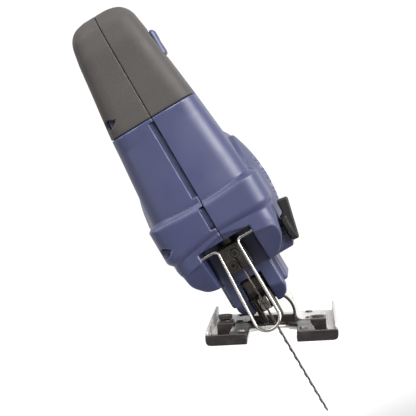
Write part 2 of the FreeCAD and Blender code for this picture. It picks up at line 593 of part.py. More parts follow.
def blade_and_clamp():
    """The clamp block on the plunger's end, its two socket screws and the blade."""
    body = new_body("clamp_form")
    outline = [("-block_half", "block_front"), ("block_half", "block_front"), ("block_half", "block_back"),
               ("-block_half", "block_back")]
    sketch = draw(sketch_on(body, "XY_Plane", "clamp_outline", "block_low"), outline)
    pad(body, sketch, "block_high - block_low", "ClampBlock")
    rounded(body, "ClampCorners", 1.2, "z",
            [(sx + "block_half", y) for sx in ("", "-") for y in ("block_front", "block_back")])
    sockets = [(0.9, 55.8), (-3.8, 49.8)]
    holes = [rod("clamp_rod_hole", "z", ("rod_low", "block_high + 1"), (0, 0), "rod"),
             block("clamp_blade_slot", ("-blade_gauge / 2 - fit", "blade_gauge / 2 + fit"),
                   ("blade_front - fit", "blade_back + fit"), ("block_low - 1", "blade_top + fit"))]
    screws = []
    for index, (x, z) in enumerate(sockets):
        label = "clamp_screw_%d" % index
        hole_span = ("block_front - 1", "blade_front - fit")
        stud_span = ("block_front - 0.4", "blade_front - fit")
        holes.append(rod(label + "_hole", "y", hole_span, (x, z), "clamp_screw"))
        stud = rod(label + "_stud", "y", stud_span, (x, z), "clamp_screw")
        socket = doc.addObject("Part::Prism", label + "_socket")
        socket.Polygon = 6
        socket.Placement = FreeCAD.Placement(V(), TURN["y"])
        bind(socket, "Circumradius", 1.45)
        bind(socket, "Height", 2.4)
        place(socket, x, "block_front - 0.5", z)
        screws.append(cut(label, stud, socket))
    node(cut("blade_clamp", body, *holes), "blade_clamp")
    node(group("clamp_screws", screws), "clamp_screws")

    saw = new_body("blade")
    strip = [("blade_front", "blade_tip + 3"), ("blade_back - 2", "blade_tip"),
             ("blade_back", "blade_tip + 1.5"), ("blade_back", "blade_top"), ("blade_front", "blade_top")]
    pad(saw, draw(sketch_on(saw, "YZ_Plane", "blade_side"), strip), "blade_gauge", "Strip", middle=True)
    first = "(blade_tip + 4)"
    gullet = [("blade_front - 1", first), ("blade_front", first),
              ("blade_front + tooth_depth", first + " + tooth_pitch * 0.35"),
              ("blade_front", first + " + tooth_pitch * 0.94"),
              ("blade_front - 1", first + " + tooth_pitch * 0.94")]
    notch = pocket(saw, draw(sketch_on(saw, "YZ_Plane", "gullet"), gullet), None, "Gullet", middle=True)
    row = saw.newObject("PartDesign::LinearPattern", "Teeth")
    row.Originals = [notch]
    row.Direction = (plane_of(saw, "Z_Axis"), [""])
    row.Occurrences = 28
    bind(row, "Length", "tooth_pitch * 27")
    saw.Tip = row
    doc.recompute()
    node(saw, "blade")


def roller_guide():
    """The forked blade guide that swings on its pin, and the roller it carries."""
    body = new_body("guide_form")
    side = [("roller_y - 4.2", "guide_low"), ("roller_y + 3.6", "guide_low"), (15.2, 14), (20.6, 29),
            (20.6, 37), (13.4, 37), (11.4, 27.5), ("roller_y - 4.2", 25)]
    side_sketch = draw(sketch_on(body, "YZ_Plane", "guide_side"), side)
    pad(body, side_sketch, "guide_half * 2 - 1", "Fork", middle=True)
    tools = [block("guide_gap", ("-roller_half - gap", "roller_half + gap"),
                   (0, "roller_y + roller_radius + gap"), (5, 26)),
             rod("guide_pivot_hole", "x", (-10, 10), ("guide_pivot_y", "guide_pivot_z"), "pin + fit"),
             rod("guide_roller_hole", "x", (-10, 10), ("roller_y", "roller_z"), "pin")]
    node(cut("roller_guide", body, *tools), "roller_guide")
    node(rod("guide_pin", "x", (-12, 12), ("guide_pivot_y", "guide_pivot_z"), "pin"), "guide_pin")
    node(rod("roller_pin", "x", ("-guide_half + 0.5", "guide_half - 0.5"), ("roller_y", "roller_z"), "pin"),
         "roller_pin")
    wheel = rod("roller_wheel", "x", ("-roller_half", "roller_half"), ("roller_y", "roller_z"),
                "roller_radius")
    bore = rod("roller_bore", "x", (-5, 5), ("roller_y", "roller_z"), "pin + fit")
    node(cut("guide_roller", wheel, bore), "guide_roller")


# ---------------------------------------------------------------- motor

def ring(name, along, span, centre, outer, inner):
    """A cylinder with a through bore."""
    longer = ("(%s) - 1" % span[0], "(%s) + 1" % span[1])
    return cut(name, rod(name + "_outer", along, span, centre, outer),
               rod(name + "_bore", along, longer, centre, inner))


def motor():
    """Stator, coils, armature, commutator, fan, bearings and brush gear."""
    centre = (0, "motor_z")
    bore = rod("field_bore", "y", (40, 100), centre, "core_radius + air_gap")
    node(cut("motor_field", field_block("field_form"), bore), "motor_field")
    coils = [ring("field_coil_front", "y", (44.5, "field_front"), centre, 22, "core_radius + 1.5"),
             ring("field_coil_rear", "y", ("field_rear", 91), centre, 22, "core_radius + 1.5")]
    node(group("field_coils", coils), "field_coils")
    node(rod("armature_shaft", "y", ("gear_front + gear_width + 1", 123), centre, "shaft"), "armature_shaft")
    core = ring("armature_core_disc", "y", ("core_front", "core_rear"), centre, "core_radius", "shaft")
    slots = []
    for index in range(12):
        angle = "%d deg" % (index * 30 + 15)
        spot = ("(core_radius - 1.2) * sin(%s)" % angle, "motor_z + (core_radius - 1.2) * cos(%s)" % angle)
        slots.append(rod("core_slot_%d" % index, "y", (50, 90), spot, 1.9))
    node(cut("armature_core", core, *slots), "armature_core")
    heads = [ring("winding_front", "y", (46, "core_front"), centre, 12.5, "shaft"),
             ring("winding_rear", "y", ("core_rear", 90), centre, 12.5, "shaft")]
    node(group("armature_windings", heads), "armature_windings")
    node(ring("commutator", "y", ("commutator_front", "commutator_rear"), centre, "commutator", "shaft"),
         "commutator")
    node(ring("front_bearing", "y", ("plate_back - bearing_width", "plate_back"), centre, "front_bearing",
              "shaft + fit"), "front_bearing")
    node(ring("rear_bearing", "y", ("rear_bearing_y", "rear_bearing_y + bearing_width"), centre,
              "rear_bearing", "shaft + fit"), "rear_bearing")

    body = new_body("fan_form")
    disc = draw_circle(sketch_on(body, "XZ_Plane", "fan_disc"), 0, 0, "fan_radius")
    pad(body, disc, 1.6, "Disc", back=True)
    vane = [(-0.7, 8), (0.7, 8), (4.2, "fan_radius - 1.5"), (2.6, "fan_radius - 1.5")]
    pad(body, draw(sketch_on(body, "XZ_Plane", "fan_vane"), vane), "fan_rear - fan_front", "Vane", back=True)
    vanes = body.newObject("PartDesign::PolarPattern", "Vanes")
    vanes.Originals = [body.Tip]
    vanes.Axis = (plane_of(body, "Y_Axis"), [""])
    vanes.Angle = 360
    vanes.Occurrences = 11
    body.Tip = vanes
    doc.recompute()
    place(body, 0, "fan_front", "motor_z")
    hub = rod("fan_hub", "y", ("fan_front", "fan_rear"), centre, 6.5)
    shaft_hole = rod("fan_bore", "y", ("fan_front - 1", "fan_rear + 1"), centre, "shaft")
    node(cut("fan", fuse("fan_solid", body, hub), shaft_hole), "fan")

    holders, brushes, springs = [], [], []
    for side, name in ((1, "left"), (-1, "right")):
        spans = {"holder": (10.8, 27.5), "hole": (10, 30), "brush": (10.15, 19), "spring": (19, 26)}
        if side < 0:
            spans = {key: (-high, -low) for key, (low, high) in spans.items()}
        outer = block("holder_outer_" + name, spans["holder"], (95, 104),
                      ("motor_z - 4.5", "motor_z + 4.5"))
        hole = block("holder_hole_" + name, spans["hole"], (96.5, 102.5), ("motor_z - 3", "motor_z + 3"))
        holders.append(cut("brush_holder_" + name, outer, hole))
        brushes.append(block("carbon_brush_" + name, spans["brush"], (96.6, 102.4),
                             ("motor_z - 2.9", "motor_z + 2.9")))
        springs.append(ring("brush_spring_" + name, "x", spans["spring"], (99.5, "motor_z"), 2.4, 1.7))
    node(group("brush_holders", holders), "brush_holders")
    node(group("carbon_brushes", brushes), "carbon_brushes")
    node(group("brush_springs", springs), "brush_springs")


# ---------------------------------------------------------------- guard, controls and inlet

def wire_guard():
    """The bent wire before the blade: two tips in the cheeks, two legs and a round bow."""
    tip, leg, bow = number("guard_tip"), number("guard_leg"), number("guard_bow")
    top = V(0, number("guard_y"), number("guard_z"))
    low = V(0, number("guard_foot_y"), number("guard_bow_z"))
    down = (low - top).normalize()
    reach = (low - top).Length
    spread = math.atan2(bow - leg, reach)
    bend = number("guard_bend")
    half_turn = (math.pi / 2 - spread) / 2
    run = bend / math.tan(half_turn)
    sagitta = bend / math.sin(half_turn) - bend

    def spot(x, along):
        return top + V(x, 0, 0) + down * along

    edges = []
    for side in (-1, 1):
        leg_top = spot(side * (leg + run * math.sin(spread)), run * math.cos(spread))
        leg_end = spot(side * bow * math.cos(spread) ** 2,
                       reach - bow * math.sin(spread) * math.cos(spread))
        middle = spot(side * (leg + sagitta * math.cos(half_turn)), sagitta * math.sin(half_turn))
        arm_end = spot(side * (leg + run), 0)
        edges.append([Part.makeLine(spot(side * tip, 0), arm_end),
                      Part.Arc(arm_end, middle, leg_top).toShape(), Part.makeLine(leg_top, leg_end)])
        if side < 0:
            left_end = leg_end
    arc = Part.Arc(left_end, spot(0, reach + bow * math.cos(spread)), leg_end).toShape()
    path = Part.Wire(edges[0] + [arc] + edges[1][::-1])
    section = Part.Wire(Part.makeCircle(number("wire"), spot(-tip, 0), X_AXIS))
    item = doc.addObject("Part::Feature", "wire_guard")
    item.Shape = path.makePipeShell([section], True, False)
    node(item, "wire_guard")


def controls():
    """Trigger, its switch, the lock-on button and the orbit selector."""
    body = new_body("trigger")
    low, high = "(trigger_y - trigger_length / 2)", "(trigger_y + trigger_length / 2)"
    side = [(low, 186), (low, 170), (low + " + 5", 165), ("trigger_y - 2", "trigger_low"),
            (high + " - 6", 164.5), (high, 172), (high, 186)]
    side_sketch = draw(sketch_on(body, "YZ_Plane", "trigger_side"), side)
    pad(body, side_sketch, "trigger_half * 2", "Blade", middle=True)
    node(body, "trigger")
    node(block("switch_box", (-9, 9), (34, 66), (191.5, 202)), "switch_box")

    knob = new_body("lock_button")
    face = [("button_y - button_half_y", "button_z - button_half_z"),
            ("button_y + button_half_y", "button_z - button_half_z"),
            ("button_y + button_half_y", "button_z + button_half_z"),
            ("button_y - button_half_y", "button_z + button_half_z")]
    pad(knob, draw(sketch_on(knob, "YZ_Plane", "button_face", 17), face), "button_out - 17", "Key")
    rounded(knob, "Corners", 4, "x", face)
    node(knob, "lock_button")

    lever = new_body("selector_arm")
    front = [("cheek_half + gap", "selector_z - selector_radius"), ("cheek_half + 4.6", "selector_z - 8.9"),
             (45.6, 69.2), ("belt_half + 0.5", 70.3), ("belt_half + 0.5", 62), ("cheek_half + gap", 59)]
    sketch = draw(sketch_on(lever, "XZ_Plane", "arm_front", "-(selector_y + 5)"), front)
    pad(lever, sketch, 10, "Arm")
    disc = rod("selector_disc", "x", ("cheek_half + gap", "cheek_half + 4"), ("selector_y", "selector_z"),
               "selector_radius")
    stub = rod("selector_stub", "x", (25, "cheek_half + 2"), ("selector_y", "selector_z"), "pin * 2")
    node(fuse("orbit_selector", lever, disc, stub), "orbit_selector")
    bush = ring("inlet_bush", "y", (148, "body_rear + 3"), (0, "inlet_z"), "inlet_radius + 2", "inlet_radius")
    node(bush, "inlet_bush")


# ---------------------------------------------------------------- shoe

def tilt(item):
    """Turn a piece that is built flat, sole at z = 0, about the bevel axis."""
    item.Placement = FreeCAD.Placement(V(), FreeCAD.Rotation(Y_AXIS, 1))
    bind(item, "Placement.Rotation.Angle", "bevel * 1 deg")
    bind(item, "Placement.Base.x", "-bevel_axis * sin(bevel * 1 deg)")
    bind(item, "Placement.Base.z", "bevel_axis / cos(bevel * 1 deg) - bevel_axis * cos(bevel * 1 deg)")
    return item


SADDLE_RIVETS = [(x, y) for x in (-21.8, 21.8) for y in (32, 66)]
COVER_RIVETS = [(x, y) for x in (-18.6, 18.6) for y in (-50, -20)]


def rivet_holes(name, spots, low, high):
    return [rod("%s_%d" % (name, index), "z", (low, high), spot, "rivet")
            for index, spot in enumerate(spots)]


def shoe():
    """The sole plate, its dark front cover, the saddle, rivets and fence clamps."""
    half = "(shoe_width / 2)"
    plate = new_body("plate_form")
    right = [("slot_half", "shoe_front + cover_gauge"), (half, "shoe_front + cover_gauge"),
             (half, "shoe_rear - 6"), (half + " - 6", "shoe_rear")]
    left = [("-(%s)" % x, y) for x, y in reversed(right)]
    slot = [("-slot_half", "slot_shoulder"), ("-slot_neck_half", "slot_shoulder + 6"),
            ("-slot_neck_half", "slot_end"), ("slot_neck_half", "slot_end"),
            ("slot_neck_half", "slot_shoulder + 6"), ("slot_half", "slot_shoulder")]
    pad(plate, draw(sketch_on(plate, "XY_Plane", "sole"), right + left + slot), "shoe_gauge", "Sole")
    access = [(-10, 30), (10, 30), (10, 68), (-10, 68)]
    pocket(plate, draw(sketch_on(plate, "XY_Plane", "access"), access), None, "Access", middle=True)
    parts = [plate]
    slots = []
    flanges = (("left", half + " - shoe_gauge", half), ("right", "-" + half, "-" + half + " + shoe_gauge"))
    for name, low, high in flanges:
        parts.append(block("flange_" + name, (low, high), ("shoe_front + cover_gauge", "shoe_rear - 7"),
                           (0, "flange_height")))
        slots.append(block("fence_slot_" + name, (low + " - 1", high + " + 1"),
                           ("fence_slot_y - fence_slot_length / 2", "fence_slot_y + fence_slot_length / 2"),
                           ("cover_top", "cover_top + fence_slot_height")))
    holes = rivet_holes("plate_rivet", SADDLE_RIVETS + COVER_RIVETS, -1, 5)
    node(tilt(cut("base_plate", fuse("plate_solid", *parts), *(slots + holes))), "base_plate")

    cover = new_body("cover_form")
    inner = half + " - shoe_gauge - gap"
    arm = [("slot_half", "shoe_front + cover_gauge"), (inner, "shoe_front + cover_gauge"), (inner, -48),
           (33, -46), (33, -22), (24, -18), (24, "saddle_front - gap")]
    mirror = [("-(%s)" % x, y) for x, y in reversed(arm)]
    arms = draw(sketch_on(cover, "XY_Plane", "arms", "shoe_gauge"), arm + mirror + slot)
    pad(cover, arms, "cover_gauge", "Arms")
    lips = []
    sides = (("left", "slot_half", half, half), ("right", "-" + half, "-slot_half", "-" + half))
    for name, low, high, corner in sides:
        lip = new_body("lip_" + name)
        face = [(low, 0), (high, 0), (high, "lip_height"), (low, "lip_height")]
        lip_face = draw(sketch_on(lip, "XZ_Plane", "lip_face", "-shoe_front - cover_gauge"), face)
        pad(lip, lip_face, "cover_gauge", "Lip")
        rounded(lip, "Corner", "cover_round - 0.6", "y", [(corner, 0)])
        lips.append(lip)
    holes = rivet_holes("cover_rivet", COVER_RIVETS, 1, 5)
    node(tilt(cut("shoe_front_cover", fuse("cover_solid", cover, *lips), *holes)), "shoe_front_cover")

    y = ("saddle_front", "saddle_rear")
    inside = "(saddle_radius - saddle_gauge)"
    solid = [rod("saddle_outer", "y", y, (0, "bevel_axis"), "saddle_radius"),
             block("saddle_walls", ("-saddle_radius", "saddle_radius"), y, ("shoe_gauge", "bevel_axis")),
             block("saddle_feet", ("-saddle_foot", "saddle_foot"), y,
                   ("shoe_gauge", "shoe_gauge + saddle_gauge"))]
    longer = ("saddle_front - 1", "saddle_rear + 1")
    hollow = [rod("saddle_inner", "y", longer, (0, "bevel_axis"), inside),
              block("saddle_under", ("-" + inside, inside), longer, (-10, "bevel_axis")),
              block("saddle_below", (-40, 40), longer, (-10, "shoe_gauge")),
              block("saddle_slot", (-12, 12),
                    ("clamp_y - clamp_bolt - 0.5", "clamp_y + clamp_bolt + 0.5"), (14, 30))]
    holes = rivet_holes("saddle_rivet", SADDLE_RIVETS, 1, 5)
    node(tilt(cut("bevel_saddle", fuse("saddle_solid", *solid), *(hollow + holes))), "bevel_saddle")

    rivets = []
    for index, (x, y) in enumerate(SADDLE_RIVETS + COVER_RIVETS):
        top = "shoe_gauge + saddle_gauge" if (x, y) in SADDLE_RIVETS else "cover_top"
        label = "rivet_%d" % index
        rivets.append(fuse(label, rod(label + "_stem", "z", (0, top), (x, y), "rivet"),
                           cone(label + "_head", "z", (top, "(%s) + 1" % top), (x, y), (2.7, 1.8))))
    node(tilt(group("shoe_rivets", rivets)), "shoe_rivets")

    channel_y = ("fence_slot_y - fence_slot_length / 2", "fence_slot_y + fence_slot_length / 2")
    blocks = []
    for name, x in (("left", "block_x"), ("right", "-block_x")):
        body = block("fence_block_solid_" + name, (x + " - block_width / 2", x + " + block_width / 2"),
                     ("fence_slot_y - 10.5", "fence_slot_y + 10.5"), ("cover_top", "block_top"))
        collar = rod("fence_collar_" + name, "z", ("block_top - 1", "block_top + 1"), (x, "fence_slot_y"),
                     "fence_bolt + 1.3")
        channel = block("fence_channel_" + name, (x + " - 9", x + " + 9"), channel_y,
                        ("cover_top - 1", "cover_top + fence_slot_height"))
        hole = rod("fence_thread_" + name, "z", (0, 20), (x, "fence_slot_y"), "fence_bolt + fit")
        piece = cut("fence_block_" + name, fuse("fence_block_form_" + name, body, collar), channel, hole)
        blocks.append(piece)
        node(tilt(piece), "fence_block_" + name)
    head = rod("fence_screw_head", "z", ("block_top + 1 + gap", "block_top + 4.2"),
               ("-block_x", "fence_slot_y"), 4.2)
    stem = rod("fence_screw_stem", "z", ("cover_top + 2.4", "block_top + 2"), ("-block_x", "fence_slot_y"),
               "fence_bolt")
    grip = []
    for index in range(12):
        angle = "%d deg" % (index * 30)
        spot = ("-block_x + 4.6 * cos(%s)" % angle, "fence_slot_y + 4.6 * sin(%s)" % angle)
        grip.append(rod("fence_screw_flute_%d" % index, "z", (0, 30), spot, 0.75))
    node(tilt(cut("fence_screw", fuse("fence_screw_solid", head, stem), *grip)), "fence_screw")


def bevel_clamp():
    """The curved plate inside the saddle and the socket bolt that pulls it up to the foot."""
    pivot_z = "bevel_axis / cos(bevel * 1 deg)"
    span = ("clamp_y - 8", "clamp_y + 8")
    sector = ring("clamp_plate_ring", "y", span, (0, pivot_z), "saddle_radius - saddle_gauge - gap",
                  "saddle_radius - saddle_gauge - 2.8")
    window = block("clamp_plate_window", (-6.5, 6.5), ("clamp_y - 9", "clamp_y + 9"),
                   (pivot_z + " + 4", pivot_z + " + 20"))
    hole = rod("clamp_plate_hole", "z", (0, 40), (0, "clamp_y"), "clamp_bolt")
    node(cut("bevel_clamp_plate", common("clamp_plate_form", sector, window), hole), "bevel_clamp_plate")
    head = rod("bevel_bolt_head", "z", (pivot_z + " + 3.6", pivot_z + " + 8.2"), (0, "clamp_y"), 4.8)
    stem = rod("bevel_bolt_stem", "z", (pivot_z + " + 5", 44), (0, "clamp_y"), "clamp_bolt")
    socket = doc.addObject("Part::Prism", "bevel_bolt_socket")
    socket.Polygon = 6
    bind(socket, "Circumradius", 2.6)
    bind(socket, "Height", 3)
    place(socket, 0, "clamp_y", pivot_z + " + 3.5")
    node(cut("bevel_clamp_bolt", fuse("bevel_bolt_solid", head, stem), socket), "bevel_clamp_bolt")


housing()
housing_screws()
gear_frame()
gears()
plunger()
blade_and_clamp()
roller_guide()
motor()
wire_guard()
controls()
shoe()
bevel_clamp()
doc.recompute()

failed = [item.Name for item in doc.Objects if "Invalid" in item.State or "Error" in item.State]
if failed:
    raise ValueError("objects that did not build: %s" % failed)
for item in NODES:
    if item.Shape.isNull() or not item.Shape.isValid():
        raise ValueError("bad shape: " + item.Label)

os.makedirs("parts", exist_ok=True)
for item in NODES:
    item.Shape.exportStep("parts/%s.step" % item.Label)
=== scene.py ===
import json
import math

import bmesh
import bpy
import numpy as np
from mathutils import Matrix, Vector


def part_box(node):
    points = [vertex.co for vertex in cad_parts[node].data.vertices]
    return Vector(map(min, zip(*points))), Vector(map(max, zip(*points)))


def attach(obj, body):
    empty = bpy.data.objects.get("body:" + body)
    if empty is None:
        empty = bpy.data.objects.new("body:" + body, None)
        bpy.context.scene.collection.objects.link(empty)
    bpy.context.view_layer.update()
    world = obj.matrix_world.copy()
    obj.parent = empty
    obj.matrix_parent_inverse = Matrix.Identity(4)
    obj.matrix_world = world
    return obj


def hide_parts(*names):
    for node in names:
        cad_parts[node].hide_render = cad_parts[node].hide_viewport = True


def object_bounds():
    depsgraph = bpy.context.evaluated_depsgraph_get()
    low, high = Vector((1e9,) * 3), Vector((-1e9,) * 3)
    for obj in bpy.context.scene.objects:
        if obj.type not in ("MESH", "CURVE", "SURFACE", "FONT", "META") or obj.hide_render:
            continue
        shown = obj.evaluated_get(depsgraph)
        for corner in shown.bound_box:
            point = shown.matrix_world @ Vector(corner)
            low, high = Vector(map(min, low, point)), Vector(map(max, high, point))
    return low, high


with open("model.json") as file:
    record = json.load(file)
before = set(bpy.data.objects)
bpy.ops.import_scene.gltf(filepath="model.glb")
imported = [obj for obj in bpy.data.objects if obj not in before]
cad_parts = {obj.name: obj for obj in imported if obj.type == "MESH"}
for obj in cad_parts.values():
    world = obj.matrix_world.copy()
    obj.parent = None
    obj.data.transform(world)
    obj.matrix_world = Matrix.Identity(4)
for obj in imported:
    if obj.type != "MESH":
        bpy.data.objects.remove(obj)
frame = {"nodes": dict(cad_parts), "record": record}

CAD_BOX = [list(corner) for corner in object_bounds()]
NODES = frame["nodes"]
MM = 0.001
BEVEL = math.radians(27.5)    # tilt of the sole at rest
BEVEL_AXIS = 8.0              # height of the tilting axis above the sole, in millimetres

# ------------------------------------------------------------------ fields, in millimetres
# A field is negative inside a piece and positive outside it. Each piece is built as one field,
# so that its edges are rounded where a mould or a press would round them.


def union(a, b, radius=0.0):
    if radius <= 0:
        return np.minimum(a, b)
    near = np.maximum(radius - np.abs(a - b), 0.0)
    return np.minimum(a, b) - near * near / (4.0 * radius)


def both(a, b, radius=0.0):
    return -union(-a, -b, radius)


def without(a, b, radius=0.0):
    return both(a, -b, radius)


def smooth_change(value, start, stop):
    """0 at start, 1 at stop, with a smooth change between."""
    t = np.clip((value - start) / (stop - start), 0.0, 1.0)
    return t * t * (3.0 - 2.0 * t)


def slab(value, low, high):
    """Distance to the space between two planes."""
    return np.abs(value - 0.5 * (low + high)) - 0.5 * (high - low)


def box_field(x, y, z, spans, radius=0.0):
    """Distance to a box given as three (low, high) spans, with rounded edges."""
    inner = [slab(value, *span) + radius for value, span in zip((x, y, z), spans)]
    outside = np.sqrt(sum(np.maximum(part, 0.0) ** 2 for part in inner))
    inside = np.minimum(np.maximum(np.maximum(inner[0], inner[1]), inner[2]), 0.0)
    return outside + inside - radius


def outline_field(u, v, points):
    """Distance to a closed outline in a plane, negative inside it."""
    nearest = None
    inside = None
    for (au, av), (bu, bv) in zip(points, points[1:] + points[:1]):
        eu, ev = bu - au, bv - av
        pu, pv = u - au, v - av
        along = np.clip((pu * eu + pv * ev) / (eu * eu + ev * ev), 0.0, 1.0)
        square = (pu - eu * along) ** 2 + (pv - ev * along) ** 2
        nearest = square if nearest is None else np.minimum(nearest, square)
        crossed = ((av > v) != (bv > v)) & (pu < eu * (v - av) / (ev if ev else 1e-9))
        inside = crossed if inside is None else inside ^ crossed
    return np.sqrt(nearest) * np.where(inside, -1.0, 1.0)


def arcs(corners, steps=4):
    """An outline whose corners (u, v, radius) are turned into arcs."""
    points = []
    for index, (u, v, radius) in enumerate(corners):
        spot = np.array((u, v), float)
        if not radius:
            points.append((u, v))
            continue
        neighbours = (corners[index - 1], corners[(index + 1) % len(corners)])
        ends = [np.array(neighbour[:2], float) for neighbour in neighbours]
        ways = [(end - spot) / np.linalg.norm(end - spot) for end in ends]
        half_turn = 0.5 * math.acos(np.clip(ways[0] @ ways[1], -1.0, 1.0))
        run = min([radius / math.tan(half_turn)] + [0.49 * np.linalg.norm(end - spot) for end in ends])
        start, stop = spot + ways[0] * run, spot + ways[1] * run
        for t in np.linspace(0.0, 1.0, steps):
            point = (1 - t) ** 2 * start + 2 * t * (1 - t) * spot + t * t * stop
            points.append((float(point[0]), float(point[1])))
    return points


# ------------------------------------------------------------------ from a field to a mesh

CORNERS = [(i, j, k) for i in (0, 1) for j in (0, 1) for k in (0, 1)]
EDGES = [(a, b) for a in range(8) for b in range(a + 1, 8)
         if sum(abs(p - q) for p, q in zip(CORNERS[a], CORNERS[b])) == 1]


def ruler(low, high, pitch, fine=None):
    """Grid marks from low to high; fine is (low, high, pitch) of a stretch with closer marks."""
    marks = [low - 2.5 * pitch]
    while marks[-1] < high + 2.5 * pitch:
        close = fine is not None and fine[0] <= marks[-1] <= fine[1]
        marks.append(marks[-1] + (fine[2] if close else pitch))
    return np.array(marks)


def net(field, axes):
    """Vertices and quads of the field's zero surface on a grid (surface nets)."""
    x, y, z = np.meshgrid(*[axis.astype(np.float32) for axis in axes], indexing="ij", sparse=True)
    size = [len(axis) for axis in axes]
    value = np.ascontiguousarray(np.broadcast_to(field(x, y, z), size), dtype=np.float32)
    inside = value < 0
    cells = tuple(n - 1 for n in size)
    count = np.zeros(cells, np.uint8)
    for i, j, k in CORNERS:
        count += inside[i:i + cells[0], j:j + cells[1], k:k + cells[2]]
    active = np.argwhere((count > 0) & (count < 8))
    corner_values = [value[tuple((active + np.array(corner)).T)] for corner in CORNERS]
    total = np.zeros((len(active), 3))
    hits = np.zeros(len(active))
    for a, b in EDGES:
        va, vb = corner_values[a], corner_values[b]
        crossed = (va < 0) != (vb < 0)
        share = np.where(crossed, va / np.where(crossed, va - vb, 1.0), 0.0)
        spot = np.array(CORNERS[a]) + share[:, None] * (np.array(CORNERS[b]) - np.array(CORNERS[a]))
        total += np.where(crossed[:, None], spot, 0.0)
        hits += crossed
    place = active + total / hits[:, None]
    points = np.stack([np.interp(place[:, n], np.arange(size[n]), axes[n]) for n in range(3)], axis=1)
    number = np.full(cells, -1, np.int32)
    number[tuple(active.T)] = np.arange(len(active))
    quads = []
    for axis in range(3):
        one, two = (axis + 1) % 3, (axis + 2) % 3
        lower, upper = [slice(None)] * 3, [slice(None)] * 3
        lower[axis], upper[axis] = slice(0, -1), slice(1, None)
        changed = np.argwhere(inside[tuple(lower)] != inside[tuple(upper)])
        keep = [(changed[:, n] >= 1) & (changed[:, n] < cells[n]) for n in (one, two)]
        changed = changed[keep[0] & keep[1]]
        ring = []
        for back_one, back_two in ((1, 1), (0, 1), (0, 0), (1, 0)):
            cell = changed.copy()
            cell[:, one] -= back_one
            cell[:, two] -= back_two
            ring.append(number[tuple(cell.T)])
        quad = np.stack(ring, axis=1)
        outward = inside[tuple(changed.T)]
        quad[~outward] = quad[~outward][:, ::-1]
        quads.append(quad)
    return points, np.concatenate(quads)


def slope(field, points, reach):
    """Unit direction in which the field grows, at each point."""
    grade = np.zeros_like(points)
    for way in ((1, -1, -1), (-1, -1, 1), (-1, 1, -1), (1, 1, 1)):
        way = np.array(way, float)
        grade += field(*(points + way * reach).T)[:, None] * way
    return grade / np.maximum(np.linalg.norm(grade, axis=1), 1e-9)[:, None]


def carve(name, field, spans, pitch, fine=(None, None, None), move=None):
    """A smooth mesh object of a field between (low, high) spans, all in millimetres.

    The pitch is the grid's, fine gives stretches with closer marks, and move places the mesh.
    """
    coarse = 1.0
    pitches = [width * coarse for width in (pitch if isinstance(pitch, tuple) else (pitch,) * 3)]
    axes = []
    for (low, high), width, close in zip(spans, pitches, fine):
        close = close and (close[0], close[1], close[2] * coarse)
        axes.append(ruler(low, high, width, close))
    points, quads = net(field, axes)
    reach = 0.3 * min(pitches)
    for _ in range(2):
        away = np.clip(field(*points.T), -reach, reach)
        points = points - slope(field, points, reach) * away[:, None]
    normals = slope(field, points, reach)
    points = points * MM
    if move is not None:
        turn = np.array(move.to_3x3())
        points = points @ turn.T + np.array(move.translation)
        normals = normals @ turn.T
    mesh = bpy.data.meshes.new(name)
    mesh.from_pydata(points.tolist(), [], quads.tolist())
    mesh.update()
    mesh.shade_smooth()
    mesh.normals_split_custom_set_from_vertices(normals.tolist())
    item = bpy.data.objects.new(name, mesh)
    bpy.context.scene.collection.objects.link(item)
    return item


REPLACED = set()


def finish_piece(item, body, slot, *nodes):
    """Material, body and the CAD nodes a piece stands for."""
    item.data.materials.clear()
    item.data.materials.append(FINISHES[slot])
    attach(item, body)
    if nodes:
        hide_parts(*nodes)
        REPLACED.update(nodes)
    return item


# ------------------------------------------------------------------ materials


def shader(name):
    """A new material, its tree, its Principled node and its object coordinates."""
    item = bpy.data.materials.new(name)
    item.use_nodes = True
    tree = item.node_tree
    principled = tree.nodes["Principled BSDF"]
    place = tree.nodes.new("ShaderNodeTexCoord").outputs["Object"]
    return item, tree, principled, place


def noise(tree, place, scale, detail=3.0, stretch=None):
    """Noise over the object's coordinates; scale is in waves per metre."""
    if stretch is not None:
        mapping = tree.nodes.new("ShaderNodeMapping")
        mapping.inputs["Scale"].default_value = stretch
        tree.links.new(place, mapping.inputs["Vector"])
        place = mapping.outputs["Vector"]
    node = tree.nodes.new("ShaderNodeTexNoise")
    node.inputs["Scale"].default_value = scale
    node.inputs["Detail"].default_value = detail
    tree.links.new(place, node.inputs["Vector"])
    return node.outputs["Fac"]


def spread(tree, value, low, high, start=0.3, stop=0.7):
    """A value between start and stop, mapped to between low and high."""
    node = tree.nodes.new("ShaderNodeMapRange")
    for name, setting in (("From Min", start), ("From Max", stop), ("To Min", low), ("To Max", high)):
        node.inputs[name].default_value = setting
    tree.links.new(value, node.inputs["Value"])
    return node.outputs["Result"]


def blend_colour(tree, share, first, second):
    """A colour between two, where each is a colour or another node's output."""
    node = tree.nodes.new("ShaderNodeMix")
    node.data_type = "RGBA"
    tree.links.new(share, node.inputs["Factor"])
    for socket, colour in ((node.inputs[6], first), (node.inputs[7], second)):
        if isinstance(colour, tuple):
            socket.default_value = (*colour, 1.0)
        else:
            tree.links.new(colour, socket)
    return node.outputs[2]


def bump(tree, principled, heights, distance):
    """One bump for each height output, laid over each other."""
    before = None
    for height, strength in heights:
        node = tree.nodes.new("ShaderNodeBump")
        node.inputs["Strength"].default_value = strength
        node.inputs["Distance"].default_value = distance
        tree.links.new(height, node.inputs["Height"])
        if before is not None:
            tree.links.new(before, node.inputs["Normal"])
        before = node.outputs["Normal"]
    tree.links.new(before, principled.inputs["Normal"])


